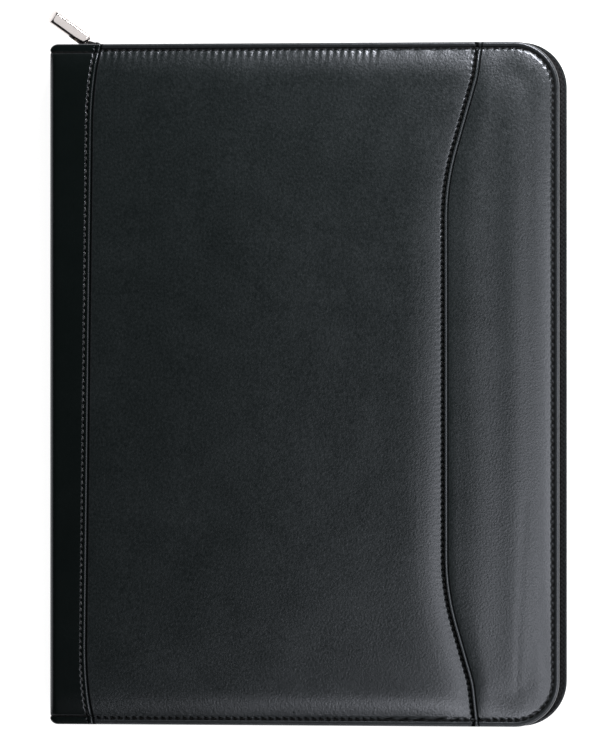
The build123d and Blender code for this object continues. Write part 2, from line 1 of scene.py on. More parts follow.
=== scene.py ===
# %% [markdown]
# A zippered leather padfolio, closed, lying on its back cover.
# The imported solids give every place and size; the pieces here give them leather, thread, cloth and metal.
# Lengths in the code are millimetres, turned into metres where a mesh is made.

# %% Frame
import json
import math

import bmesh
import bpy
import numpy as np
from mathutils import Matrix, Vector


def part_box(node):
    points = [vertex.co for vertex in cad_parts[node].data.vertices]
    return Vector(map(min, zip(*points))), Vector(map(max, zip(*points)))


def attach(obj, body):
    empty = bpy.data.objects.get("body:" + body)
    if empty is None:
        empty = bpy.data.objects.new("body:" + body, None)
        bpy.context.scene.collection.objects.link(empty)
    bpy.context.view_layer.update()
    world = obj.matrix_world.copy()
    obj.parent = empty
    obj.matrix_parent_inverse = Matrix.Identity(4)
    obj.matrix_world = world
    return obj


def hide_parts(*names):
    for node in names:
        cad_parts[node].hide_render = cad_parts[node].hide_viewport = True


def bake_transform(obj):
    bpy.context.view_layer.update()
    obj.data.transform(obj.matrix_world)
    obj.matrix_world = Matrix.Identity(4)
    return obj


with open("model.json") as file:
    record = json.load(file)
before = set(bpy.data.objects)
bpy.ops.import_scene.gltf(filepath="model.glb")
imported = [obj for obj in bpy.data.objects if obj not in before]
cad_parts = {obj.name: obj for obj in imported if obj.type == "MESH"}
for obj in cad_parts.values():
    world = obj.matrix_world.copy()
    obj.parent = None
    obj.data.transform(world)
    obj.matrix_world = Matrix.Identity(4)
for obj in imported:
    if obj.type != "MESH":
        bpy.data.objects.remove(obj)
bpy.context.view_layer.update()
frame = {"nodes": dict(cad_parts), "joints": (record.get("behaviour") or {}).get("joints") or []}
MM = 0.001


# %% [markdown]
# The sizes are read from the solids' boxes, so that a piece can't drift from its node.
# The rest are the cutting sizes of the case: corner radius, hinge lines and the two curved edges.

# %% Sizes
def box_mm(node):
    """Lowest and highest corner of a node, in millimetres."""
    return [np.array(corner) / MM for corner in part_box(node)]


front_low, front_high = box_mm("front_leather")
HALF_W, HALF_H = front_high[0], front_high[1]
COVER_LEFT = front_low[0]
FRONT_RIM = front_low[2]
LEATHER = 1.0
CORNER_R = 23.0
RISE = front_high[2] - FRONT_RIM - LEATHER
TOP = box_mm("spine_wing_front")[1][2]
MIDDLE = TOP / 2
FOLD_R = 4.0
HINGE_X = FOLD_R - HALF_W
BACK_IN = box_mm("back_lining")[1][2]
FRONT_IN = box_mm("front_lining")[0][2]
ZIP_Z = (BACK_IN + FRONT_IN) / 2
ZIP_INSET = 4.5
ZIP_LEFT = box_mm("lower_zip_tape")[0][0]
STRAIGHT_X = HALF_W - CORNER_R
STRAIGHT_Y = HALF_H - CORNER_R
print("cover", 2 * HALF_W, "x", 2 * HALF_H, "x", TOP)


# %% [markdown]
# Every piece is one or more closed shells. A sheet is two grids of points, its face and its back, joined round
# the edge; a bar is a row of rings with a cap at each end. The normals are then turned outwards together.

# %% Shells
def grid_quads(rows, cols, first=0):
    """The four corners of each cell of a grid of points that are counted row by row."""
    corner = first + np.arange(rows - 1)[:, None] * cols + np.arange(cols - 1)
    return np.stack([corner, corner + 1, corner + cols + 1, corner + cols], -1).reshape(-1, 4)


def closed_sheet(face, back):
    """A sheet's face and back, point for point, joined round their four edges."""
    rows, cols = face.shape[:2]
    count = rows * cols
    number = np.arange(count).reshape(rows, cols)
    rim = np.concatenate([number[0], number[1:, -1], number[-1, -2::-1], number[-2::-1, 0]])
    walls = np.stack([rim[1:], rim[:-1], rim[:-1] + count, rim[1:] + count], -1)
    quads = [grid_quads(rows, cols), grid_quads(rows, cols, count)[:, ::-1], walls]
    return np.concatenate([face.reshape(-1, 3), back.reshape(-1, 3)]), np.concatenate(quads).tolist()


def ring_numbers(rings, wrap):
    """Cells between rings of points, each ring closed on itself, and the last joined to the first if wrap."""
    count, around = rings.shape[:2]
    number = np.arange(count * around).reshape(count, around)
    here = number if wrap else number[:-1]
    after = np.roll(number, -1, 0) if wrap else number[1:]
    return np.stack([here, np.roll(here, -1, 1), np.roll(after, -1, 1), after], -1).reshape(-1, 4).tolist()


def closed_bar(rings):
    """Rings of points joined one to the next, with a flat cap on the first and the last."""
    count, around = rings.shape[:2]
    first = list(range(around))
    last = list(range((count - 1) * around, count * around))
    return rings.reshape(-1, 3), ring_numbers(rings, False) + [first[::-1], last]


def closed_loop(rings):
    """Rings of points carried round a closed path."""
    return rings.reshape(-1, 3), ring_numbers(rings, True)


def circle(count):
    """Angles evenly round a circle."""
    return np.linspace(0, 2 * np.pi, count + 1)[:-1]


def at_height(plan, height):
    """Points of a plan, each with its height."""
    return np.concatenate([plan, np.broadcast_to(height, plan.shape[:-1])[..., None]], -1)


def over_face(mask):
    """A mask over a sheet's face, and nothing over its back."""
    return np.concatenate([mask.ravel(), np.zeros(mask.size)])


def make_piece(name, shells, material, body=None, nodes=(), uv=None, painted_shade=None, sharp=50.0):
    """One object at the origin from shells of (points in mm, faces), smooth but for edges sharper than sharp.

    It rides on its body when one is given, and stands for its CAD nodes.
    """
    starts = np.cumsum([0] + [len(points) for points, _ in shells])
    points = np.concatenate([points for points, _ in shells]) * MM
    faces = [[corner + start for corner in face] for (_, some), start in zip(shells, starts) for face in some]
    mesh = bpy.data.meshes.new(name)
    mesh.from_pydata(points.tolist(), [], faces)
    shape = bmesh.new()
    shape.from_mesh(mesh)
    bmesh.ops.recalc_face_normals(shape, faces=shape.faces)
    shape.to_mesh(mesh)
    shape.free()
    mesh.shade_smooth()
    mesh.set_sharp_from_angle(angle=math.radians(sharp))
    if painted_shade is not None:
        mesh.attributes.new("painted_shade", "FLOAT", "POINT").data.foreach_set("value", painted_shade.astype(np.float32))
    if uv is not None:
        corner_of = np.empty(len(mesh.loops), np.int32)
        mesh.loops.foreach_get("vertex_index", corner_of)
        mesh.uv_layers.new(name="cloth").data.foreach_set("uv", uv[corner_of].astype(np.float32).ravel())
    mesh.materials.append(material)
    piece = bpy.data.objects.new(name, mesh)
    bpy.context.scene.collection.objects.link(piece)
    if body:
        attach(piece, body)
    if nodes:
        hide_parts(*nodes)
    print(name, len(mesh.vertices), "points", len(mesh.polygons), "faces")
    return piece


def dress(finish, *names):
    """Gives a finish to CAD nodes that stay in view."""
    for name in names:
        frame["nodes"][name].data.materials.clear()
        frame["nodes"][name].data.materials.append(finish)


# %% [markdown]
# Two effects serve more than one finish, so each is a node group: the pebbled grain of leather, and the
# over-and-under of woven threads. A group puts out colours, heights and changes of gloss; the shader stays in the
# material.

# %% Node groups
def new_group(name, inputs, outputs):
    """An empty shader group with its sockets: name, kind and default of each input, name and kind of each output."""
    group = bpy.data.node_groups.new(name, "ShaderNodeTree")
    for label, kind, value in inputs:
        group.interface.new_socket(label, in_out="INPUT", socket_type=kind).default_value = value
    for label, kind in outputs:
        group.interface.new_socket(label, in_out="OUTPUT", socket_type=kind)
    return group, group.nodes.new("NodeGroupInput"), group.nodes.new("NodeGroupOutput")


def node(tree, kind, links=(), **settings):
    """One node, its settings, and what feeds its sockets: a socket, or a plain value."""
    made = tree.nodes.new(kind)
    for label, value in settings.items():
        setattr(made, label, value)
    for socket, source in dict(links).items():
        if isinstance(source, bpy.types.NodeSocket):
            tree.links.new(source, made.inputs[socket])
        else:
            made.inputs[socket].default_value = source
    return made


def feed(taker, **sources):
    """Links what feeds a shader's or a group's sockets, by their names."""
    for label, source in sources.items():
        taker.id_data.links.new(source, taker.inputs[label.replace("_", " ")])


def maths(tree, operation, first, second=0.5):
    """The result of one sum."""
    return node(tree, "ShaderNodeMath", {0: first, 1: second}, operation=operation).outputs[0]


def stretch(tree, value, low, high, new_low, new_high):
    """A value's range, low to high, laid onto a new range."""
    links = {"Value": value, "From Min": low, "From Max": high, "To Min": new_low, "To Max": new_high}
    return node(tree, "ShaderNodeMapRange", links).outputs["Result"]


def tinted(tree, colour, factor):
    """A colour made lighter or darker by a factor."""
    links = {"Vector": colour, "Scale": factor}
    return node(tree, "ShaderNodeVectorMath", links, operation="SCALE").outputs["Vector"]


FLOAT, COLOUR = "NodeSocketFloat", "NodeSocketColor"
leather_grain, given, put = new_group(
    "leather_grain",
    [("Colour", COLOUR, (0.02, 0.02, 0.02, 1)), ("Pebbles", FLOAT, 900.0), ("Mottle", FLOAT, 0.2),
     ("Speckle", FLOAT, 0.2)],
    [("Colour", COLOUR), ("Gloss Change", FLOAT), ("Height", FLOAT)],
)
tree = leather_grain
place = node(tree, "ShaderNodeTexCoord").outputs["Object"]
pebbles = node(
    tree, "ShaderNodeTexVoronoi", {"Vector": place, "Scale": given.outputs["Pebbles"]}, feature="SMOOTH_F1"
).outputs["Distance"]
fine = node(tree, "ShaderNodeTexNoise", {"Vector": place, "Scale": 2600.0, "Detail": 2.0}).outputs["Fac"]
broad = node(tree, "ShaderNodeTexNoise", {"Vector": place, "Scale": 50.0, "Detail": 5.0}).outputs["Fac"]
spots = node(tree, "ShaderNodeTexNoise", {"Vector": place, "Scale": 800.0, "Detail": 3.0}).outputs["Fac"]
change = maths(tree, "ADD", *(
    maths(tree, "MULTIPLY", maths(tree, "SUBTRACT", pattern, 0.5), given.outputs[amount])
    for pattern, amount in ((broad, "Mottle"), (spots, "Speckle"))
))
shade = maths(tree, "ADD", maths(tree, "MULTIPLY", change, 4.0), 1.0)
feed(put, Colour=tinted(tree, given.outputs["Colour"], shade), Gloss_Change=change,
     Height=maths(tree, "ADD", pebbles, maths(tree, "MULTIPLY", fine, 0.35)))

woven_threads, given, put = new_group(
    "woven_threads",
    [("Colour", COLOUR, (0.02, 0.02, 0.02, 1)), ("Threads", FLOAT, 1500.0)],
    [("Colour", COLOUR), ("Height", FLOAT)],
)
tree = woven_threads
across = node(tree, "ShaderNodeSeparateXYZ", {"Vector": node(tree, "ShaderNodeUVMap", uv_map="cloth").outputs["UV"]})
counts = [maths(tree, "MULTIPLY", across.outputs[axis], given.outputs["Threads"]) for axis in ("X", "Y")]
turns = [maths(tree, "SINE", maths(tree, "MULTIPLY", count, math.pi)) for count in counts]
over = maths(tree, "MULTIPLY", turns[0], turns[1])
fuzz = node(tree, "ShaderNodeTexNoise", {"Vector": node(tree, "ShaderNodeTexCoord").outputs["Object"], "Scale": 1400.0})
# Colour follows the weave's height: painted shade in the low cells, lighter on the raised ones, with random fuzz.
weave = maths(tree, "ADD", over, maths(tree, "MULTIPLY", fuzz.outputs["Fac"], 0.6))
feed(put, Colour=tinted(tree, given.outputs["Colour"], stretch(tree, weave, -1.0, 1.6, 0.45, 1.6)), Height=weave)
print("groups", [group.name for group in bpy.data.node_groups])


# %% [markdown]
# Finishes. The leather is nearly black with a cool cast; its sheen comes from a middling roughness, with pores in a
# bump. A stored value, painted_shade, darkens the leather and dims its reflection: painted shade in the sewn
# channels, on the rolled rims and down the spine, and painted shadow beside the edges that lap over it.

# %% Leather, thread and cloth
def new_finish(name, **plain):
    """A material and its Principled shader, with plain values on the shader's own sockets."""
    finish = bpy.data.materials.new(name)
    finish.use_nodes = True
    shader = finish.node_tree.nodes["Principled BSDF"]
    for label, value in plain.items():
        shader.inputs[label.replace("_", " ")].default_value = value
    return finish, finish.node_tree, shader


def raise_bump(tree, shader, height, strength, distance):
    """Feeds a height to the shader's normal."""
    links = {"Height": height, "Strength": strength, "Distance": distance}
    feed(shader, Normal=node(tree, "ShaderNodeBump", links).outputs["Normal"])


def leather_finish(name, colour, roughness, pebbles, mottle, speckle, strength, shine=0.5):
    """Leather: grain, mottling and specks from the group, darkened and dulled where painted shade is stored."""
    finish, tree, shader = new_finish(name, IOR=1.5, Specular_IOR_Level=shine, Specular_Tint=(0.88, 0.9, 1.0, 1))
    grain = node(tree, "ShaderNodeGroup", node_tree=leather_grain)
    for label, value in (("Colour", (*colour, 1)), ("Pebbles", pebbles), ("Mottle", mottle), ("Speckle", speckle)):
        grain.inputs[label].default_value = value
    dip = node(tree, "ShaderNodeAttribute", attribute_name="painted_shade").outputs["Fac"]
    # Painted shade: the colour falls to an eighth, the leather gets rougher and its reflection nearly goes where the
    # stored value is 1.
    darker, duller, dimmer = (
        stretch(tree, dip, 0.0, 1.0, flat, dipped)
        for flat, dipped in ((1.0, 0.12), (roughness, roughness + 0.3), (shine, 0.03))
    )
    feed(shader, Base_Color=tinted(tree, grain.outputs["Colour"], darker), Specular_IOR_Level=dimmer,
         Roughness=maths(tree, "ADD", grain.outputs["Gloss Change"], duller))
    raise_bump(tree, shader, grain.outputs["Height"], strength, 0.0002)
    return finish


def cloth_finish(name, colour, threads, roughness, sheen, shine):
    """Woven cloth: height follows the threads over and under each other, and the colour carries painted shade from it.
    """
    finish, tree, shader = new_finish(name, Roughness=roughness, Sheen_Weight=sheen, Specular_IOR_Level=shine)
    weave = node(tree, "ShaderNodeGroup", node_tree=woven_threads)
    weave.inputs["Colour"].default_value = (*colour, 1)
    weave.inputs["Threads"].default_value = threads
    feed(shader, Base_Color=weave.outputs["Colour"])
    raise_bump(tree, shader, weave.outputs["Height"], 0.5, 0.0002)
    return finish


def thread_finish(name, colour):
    """Twisted sewing thread, uneven along its length."""
    finish, tree, shader = new_finish(name, Roughness=0.7, Specular_IOR_Level=0.12)
    place = node(tree, "ShaderNodeTexCoord").outputs["Object"]
    twist = node(tree, "ShaderNodeTexNoise", {"Vector": place, "Scale": 900.0, "Detail": 2.0}).outputs["Fac"]
    feed(shader, Base_Color=tinted(tree, colour, stretch(tree, twist, 0.3, 0.7, 0.5, 1.6)))
    raise_bump(tree, shader, twist, 0.4, 0.0001)
    return finish


outer_leather = leather_finish("outer_leather", (0.0027, 0.0050, 0.0048), roughness=0.33, pebbles=1100.0,
                               mottle=0.09, speckle=0.2, strength=0.3, shine=1.0)
# The spine leather is smoother than the cover's, and its colour is about half as light: painted shade for the spine
# panel.
painted_dark_spine_finish = leather_finish("smooth_spine_leather_painted_dark", (0.0014, 0.0028, 0.0025), roughness=0.26, pebbles=1100.0,
                              mottle=0.06, speckle=0.04, strength=0.05, shine=0.55)
inner_leather = leather_finish("pocket_leather", (0.013, 0.0132, 0.014), roughness=0.5, pebbles=800.0,
                               mottle=0.2, speckle=0.2, strength=0.25)
lining_cloth = cloth_finish("lining_cloth", (0.02, 0.02, 0.022), threads=1600.0, roughness=0.85, sheen=0.15, shine=0.5)
tape_cloth = cloth_finish("zip_tape_cloth", (0.012, 0.012, 0.013), threads=900.0, roughness=0.8, sheen=0.0, shine=0.06)
pale_thread = thread_finish("pale_thread", (0.07, 0.072, 0.074))
black_thread = thread_finish("black_thread", (0.003, 0.003, 0.003))
print("finishes", [finish.name for finish in bpy.data.materials if finish.users == 0])


# %% [markdown]
# Metal, nylon, paper and vinyl. The pull is polished nickel with faint rubbing marks along it; the slider, link
# and stops are black enamel. The pad has plain ruled lines, drawn by the height of each line up the page.

# %% Metal, nylon, paper and vinyl
def speckled_finish(name, colour, roughness, scale, depth, **plain):
    """A hard finish whose colour and roughness drift a little over the surface."""
    finish, tree, shader = new_finish(name, **plain)
    place = node(tree, "ShaderNodeTexCoord").outputs["Object"]
    drift = node(tree, "ShaderNodeTexNoise", {"Vector": place, "Scale": scale, "Detail": 4.0}).outputs["Fac"]
    shade = stretch(tree, drift, 0.3, 0.7, 1 - depth, 1 + depth)
    feed(shader, Base_Color=tinted(tree, colour, shade),
         Roughness=stretch(tree, drift, 0.3, 0.7, roughness * 0.8, roughness * 1.25))
    return finish


nickel = speckled_finish("polished_nickel", (0.74, 0.69, 0.675), 0.13, 160.0, 0.04, Metallic=1.0)
black_enamel = speckled_finish("black_enamel", (0.012, 0.012, 0.0125), 0.3, 400.0, 0.3, Coat_Weight=0.3)
coil_nylon = speckled_finish("coil_nylon", (0.014, 0.014, 0.015), 0.35, 500.0, 0.25)
grey_card = speckled_finish("grey_card", (0.40, 0.34, 0.27), 0.85, 700.0, 0.12)
binding_paper = speckled_finish("binding_paper", (0.028, 0.028, 0.032), 0.6, 900.0, 0.2)
cover_board = speckled_finish("cover_board", (0.30, 0.26, 0.21), 0.9, 500.0, 0.1)
vinyl = speckled_finish("clear_vinyl", (0.93, 0.94, 0.95), 0.08, 220.0, 0.02, IOR=1.4, Transmission_Weight=1.0)

paper, tree, shader = new_finish("ruled_paper", Roughness=0.8)
place = node(tree, "ShaderNodeSeparateXYZ", {"Vector": node(tree, "ShaderNodeTexCoord").outputs["Object"]})
RULE_PITCH, RULE_HALF = 0.0087, 0.00016
UNDER_TOP_PAGE = (BACK_IN + 7.45) * MM
rule = maths(tree, "PINGPONG", place.outputs["Y"], RULE_PITCH / 2)
page_top = maths(tree, "GREATER_THAN", place.outputs["Z"], UNDER_TOP_PAGE)
ruled = maths(tree, "MULTIPLY", maths(tree, "LESS_THAN", rule, RULE_HALF), page_top)
sheets = node(tree, "ShaderNodeTexNoise", {
    "Vector": node(tree, "ShaderNodeCombineXYZ", {"Z": place.outputs["Z"]}).outputs["Vector"], "Scale": 7000.0})
edge_tone = stretch(tree, sheets.outputs["Fac"], 0.35, 0.65, 0.74, 1.0)
blank = tinted(tree, (0.86, 0.86, 0.83), maths(tree, "MAXIMUM", edge_tone, page_top))
mixed = node(tree, "ShaderNodeMix", {"Factor": ruled, 6: blank, 7: (0.36, 0.47, 0.66, 1)}, data_type="RGBA")
feed(shader, Base_Color=mixed.outputs[2])
print("finishes", len(bpy.data.materials))


# %% [markdown]
# The cover's shape is a height over each point of its outline. How far in a point lies from the three open edges
# decides it: a rim that rolls over and swells like a cord, a sewn dip, then the padding's rise. Between the
# stitches the leather gathers in small puckers, which fade inwards.

# %% Shape of a padded cover
SEAM_INSET, SEAM_HALF, SEAM_PITCH, SEAM_START = 3.2, 0.75, 3.7, -103.0
PAD_START, PAD_RUN, PAD_SOFTNESS = 3.5, 14.5, 9.0
EDGE_ROLL = 0.9
SLACK = 0.035
seam_radius = CORNER_R - SEAM_INSET
SEAM_LENGTH = 2 * (STRAIGHT_X - SEAM_START) + 2 * STRAIGHT_Y + np.pi * seam_radius


def inset_of(x, y):
    """Distance in from the open edges: how deep a point lies in a box with two round corners."""
    past_x, past_y = x - STRAIGHT_X, np.abs(y) - STRAIGHT_Y
    outside = np.hypot(np.maximum(past_x, 0), np.maximum(past_y, 0))
    return CORNER_R - outside - np.minimum(np.maximum(past_x, past_y), 0)


def edge_run(x, y):
    """Length of seam from the head's spine end to the point abreast: along the head, round, down and back."""
    past_x, past_y = x - STRAIGHT_X, np.abs(y) - STRAIGHT_Y
    angle = np.arctan2(np.maximum(past_y, 0), np.maximum(past_x, 1e-9))
    corner = seam_radius * (np.pi / 2 - angle)
    half = STRAIGHT_X - SEAM_START + np.minimum(past_x, 0) + corner + np.maximum(-past_y, 0)
    return np.where(y > 0, half, SEAM_LENGTH - half)


def ease(share):
    """A smooth step from 0 to 1."""
    share = np.clip(share, 0, 1)
    return share * share * (3 - 2 * share)


def crown(inset):
    """The padding's rise: steep at the seam and level further in, one minus a falling power."""
    share = np.clip((inset - PAD_START) / PAD_RUN, 0, 1)
    return RISE * (1 - (1 - share) ** 2.3)


def padding_inset(x, y):
    """Inset of the padding: a soft least of the two edge distances, so its corners are rounder than the cover's.

    It thins over a longer run towards the opening edge than towards the head and tail.
    """
    inset = inset_of(x, y)
    opening = PAD_START + (HALF_W - x - PAD_START) * 0.62
    soft = -PAD_SOFTNESS * np.logaddexp(-opening / PAD_SOFTNESS, (np.abs(y) - HALF_H) / PAD_SOFTNESS)
    return inset + (soft - inset) * ease((inset - PAD_START) / 15.0)


def roll_off(inset, radius):
    """How far a rounded edge falls away: a quarter circle over the last radius."""
    return radius - np.sqrt(np.maximum(radius ** 2 - np.maximum(radius - inset, 0) ** 2, 0))


def dip_line(distance, middle, width):
    """A bell-shaped dip along a sewn line."""
    return np.exp(-(((distance - middle) / width) ** 2))


def channel(distance, middle, half, beat):
    """A flat-bottomed dip along a sewn line, a little wider on its inner side at each needle hole."""
    return ease((distance - middle + half) / 0.3 + 0.5) * ease((middle + half + 0.3 * beat - distance) / 0.3 + 0.5)


def gathers(distance, beat, size, reach):
    """Puckers that start at a sewn line and fade inwards."""
    return size * beat * np.exp(-np.maximum(distance, 0) / reach) * (distance > 0)


def rim_detail(x, y, inset, gather=1.0):
    """What the sewing adds: a height, and how dark it is.

    The height is a swelling rim, a rolled edge, a sewn channel and puckers. The channel gets painted shade, the rim
    about half as much inside its outer edge, and less towards the tail.
    Along the tail the stitches pull harder, so the channel widens at each one and leans with it.
    """
    run = edge_run(x, y)
    tail = ease((-y - HALF_H + 14) / 5)
    beat = np.cos(2 * np.pi * (run - 0.8 * tail * (inset - SEAM_INSET)) / SEAM_PITCH) * gather
    pull = (0.75 + 0.3 * np.sin(run / 9.0) + 0.2 * np.sin(run / 4.3 + 1.0)) * (
        0.2 + 0.8 * ease((y - HALF_H + 14) / 5) * ease((88 - x) / 20))
    swell = 0.3 * np.sin(np.pi * np.clip(inset / (SEAM_INSET - SEAM_HALF), 0, 1))
    line = channel(inset, SEAM_INSET, SEAM_HALF, beat * (1 - 3.2 * tail))
    pucker = gathers(inset - SEAM_INSET - SEAM_HALF, beat * pull, 0.3, 2.4)
    # Painted shade over the rolled rim, lighter towards the tail and none on its outermost edge.
    rim_shade = (0.55 + 0.15 * y / HALF_H) * ease((inset - 0.6) / 0.5) * (inset < SEAM_INSET)
    height = swell - roll_off(inset, EDGE_ROLL) - (0.5 + 0.15 * beat) * line - pucker
    return height, np.maximum(line * (0.74 - 0.26 * beat), rim_shade)


waves = np.random.default_rng(7).uniform(0.0, 1.0, (9, 4))


def slackness(x, y):
    """Slow rise and fall of leather over soft padding: nine crossing waves, 55 to 150 mm long."""
    total = 0.0
    for turn, length, phase, size in waves:
        k = 2 * np.pi / (55.0 + 95.0 * length)
        heading = 2 * np.pi * turn
        total = total + (0.3 + size) * np.sin(k * (x * np.cos(heading) + y * np.sin(heading)) + 2 * np.pi * phase)
    return SLACK * total


print("rim seam", round(SEAM_LENGTH), "mm")


# %% [markdown]
# The slip pocket's mouth is straight down the middle and sweeps out in an S at each end; the spine panel's edge
# flares at the ends. Both are arcs, so each is a line of x over y.

# %% Curved edges
def arc_rise(run, reach, rise):
    """An arc that starts along the line and has risen by rise after reach."""
    radius = (rise ** 2 + reach ** 2) / (2 * rise)
    run = np.clip(run, 0, reach)
    return radius - np.sqrt(radius ** 2 - run ** 2)


def bent(run, turn, lean, half):
    """A line that leans off at a turn: a parabola for half a bend either side of the turn, then straight."""
    start = np.clip(run - turn + half, 0, 2 * half)
    return lean * (start ** 2 / (4 * half) + np.maximum(run - turn - half, 0))


MOUTH_X = HALF_W - 55.8
WING_X = 20.4 - HALF_W
LEAN, END_LEAN = math.tan(math.radians(15.6)), math.tan(math.radians(5.0))
OUT_BEND, BACK_BEND = 17.1, 4.6
HEAD_TURNS, TAIL_TURNS = (71.0, 16.7), (68.0, 21.7)
WING_SLANT, FLARE, FLARE_RUN = 1.95, 4.0, 42.0


def mouth_x(y):
    """Mouth of the slip pocket: it leans out before each end and then turns most of the way back."""
    sweep = 0.0
    for run, (leave, turn_back) in ((y, HEAD_TURNS), (-y, TAIL_TURNS)):
        sweep = sweep + bent(run, HALF_H - leave, LEAN, OUT_BEND)
        sweep = sweep - bent(run, HALF_H - turn_back, LEAN - END_LEAN, BACK_BEND)
    return MOUTH_X + sweep


def wing_x(y):
    """Edge of the spine panel: a slight slant, and a flare at each end."""
    flare = arc_rise(np.abs(y) - (HALF_H - FLARE_RUN), FLARE_RUN, FLARE)
    return WING_X + WING_SLANT * y / HALF_H + flare


def edge_distance(edge, x, y):
    """Distance in from a curved edge: the gap along x, times the cosine of the edge's lean."""
    lean = (edge(y + 0.05) - edge(y - 0.05)) / 0.1
    return (edge(y) - x) / np.hypot(1, lean)


def corner_x(y):
    """Opening edge of the cover: straight, and a quarter circle at each end."""
    return STRAIGHT_X + np.sqrt(np.maximum(CORNER_R ** 2 - np.maximum(np.abs(y) - STRAIGHT_Y, 0) ** 2, 0))


print("mouth", mouth_x(np.array([HALF_H, 0.0, -HALF_H])), "wing", wing_x(np.array([HALF_H, 0.0, -HALF_H])))


# %% [markdown]
# Front cover. The base leather is one sheet over the whole cover, fine near its edges and coarse where the pocket
# hides it. The pocket panel lies on it, and both dip along the seam beside the pocket's mouth.

# %% Front cover leather
NEAR_EDGE = np.array([0, .04, .12, .25, .42, .65, .95, 1.3, 1.7, 2.05, 2.3, 2.45, 2.6, 2.8, 3.2, 3.55, 3.75, 3.9,
                      4.05, 4.2, 4.4, 4.7, 5.2, 5.9, 6.7])
NEAR_MOUTH = np.array([0, .05, .15, .3, .5, .75, 1.0, 1.2, 1.4, 1.5, 1.6, 1.75, 2.0, 2.4, 2.75, 2.95, 3.1, 3.25, 3.4,
                       3.55, 3.8, 4.2, 4.8, 5.5, 6.5, 8, 10, 12.5, 15.5])
OFF_MOUTH = np.array([-6, -3, -1, -.3, 0, .2, .4, .6, .8, 1.0, 1.3, 1.8, 2.6, 3.8, 5.5])
MOUTH_SEAM, MOUTH_HALF = 2.4, 0.85
BELLY, BELLY_RIGHT = 3.6, 55.0
DIP_DEPTH, DIP_TILT, DIP_PANEL, DIP_STRIP = 1.3, 0.55, 5.5, 3.2
CREASE, CREASE_X, CREASE_LEAN, CREASE_HALF = 0.14, 116.6, 0.048, 1.2
RIPPLE, RIPPLE_LENGTH, RIPPLE_FROM = 0.12, 27.8, 80.5


def rows_of(step, near=NEAR_EDGE):
    """Places up the cover, close together at the head and tail and a step apart between them."""
    far = HALF_H - near[-1]
    middle = np.linspace(-far, far, round(2 * far / step) + 1)[1:-1]
    return np.concatenate([near - HALF_H, middle, HALF_H - near[::-1]])


def belly(x, y):
    """The soft swell of a filled case: level in the middle, and nothing at the open edges and the spine panel."""
    right = np.clip((x - BELLY_RIGHT) / (HALF_W - 5.5 - BELLY_RIGHT), 0, 1) ** 1.3
    left = np.clip(1 - (x - wing_x(y)) / 130.0, 0, 1) ** 2
    ends = np.clip(1 - (HALF_H - 3.0 - np.abs(y)) / 105.0, 0, 1) ** 2
    return BELLY * (1 - (right ** 1.5 + ends ** 1.5) ** (1 / 1.5)) * (1 - left)


def ripple(x, y):
    """A long wave down the strip between the pocket's mouth and the opening edge: a sine of the distance across it."""
    inside = ease((x - mouth_x(y) - 3.0) / 6) * ease((118.0 - x) / 6)
    return RIPPLE * np.sin(2 * np.pi * (x - RIPPLE_FROM) / RIPPLE_LENGTH + 0.5 * np.sin(y / 45.0)) * inside


def padded_shape(x, y):
    """The padded cover under its leather: crown, belly, slack, ripple, a crease, and a dip along the pocket's seam."""
    rise = crown(padding_inset(x, y))
    past = edge_distance(mouth_x, x, y) - MOUTH_SEAM
    depth = DIP_DEPTH - DIP_TILT * y / HALF_H
    dip = depth * np.exp(-np.abs(past) / np.where(past > 0, DIP_PANEL, DIP_STRIP))
    fold = dip_line(x, CREASE_X + CREASE_LEAN * y, CREASE_HALF)
    crease = CREASE * fold * ease((-45.0 - y) / 20) * ease((y + 160.0) / 12)
    return rise + (belly(x, y) + slackness(x, y) + ripple(x, y) - dip - crease) * rise / RISE


def cover_shell(x, y, face, back):
    """A leather sheet over points of its outline, from the heights of its face and its back."""
    return closed_sheet(np.stack([x, y, face], -1), np.stack([x, y, back], -1))


y = rows_of(SEAM_PITCH / 4)[:, None]
hidden = COVER_LEFT + (mouth_x(y) + OFF_MOUTH[0] - COVER_LEFT) * np.linspace(0, 1, 14)[:-1]
beside = mouth_x(y) + OFF_MOUTH
outer = corner_x(y) - NEAR_EDGE[::-1]
between = beside[:, -1:] + (outer[:, :1] - beside[:, -1:]) * np.linspace(0, 1, 26)[1:-1]
x = np.concatenate([hidden, beside, between, outer], 1)
y = np.broadcast_to(y, x.shape)
base = padded_shape(x, y)
beyond = x - mouth_x(y)
open_part = ease((beyond + 6) / 4)
sewing, shade_mask = rim_detail(x, y, inset_of(x, y))
# Painted shadow on the strip beside the pocket panel's edge, under its lip.
shade = ease((0.95 - beyond) / 0.6)
shell = cover_shell(x, y, FRONT_RIM + LEATHER + base + sewing * open_part, FRONT_RIM + base)
front_cover_leather = make_piece(
    "front_cover_leather", [shell], outer_leather, "front_cover", ("front_leather", "front_foam"),
    painted_shade=over_face(np.maximum(shade_mask * open_part, shade)))

# %% Slip pocket panel
TURN_X = 40.0
MOUTH_PITCH = 3.0


def lip(distance, seam, half, bead, roll, beat):
    """A turned and sewn edge: a bead that rolls off at the edge, then a sewn channel. A height, and the channel."""
    middle = (seam - half) / 2
    swell = bead * np.maximum(1 - ((distance - middle) / middle) ** 2, 0)
    line = channel(distance, seam, half, beat)
    fall = 0.95 / roll * roll_off(distance, roll)
    return swell - fall - (0.6 + 0.12 * beat) * line - gathers(distance - seam - half, beat, 0.13, 1.1), line


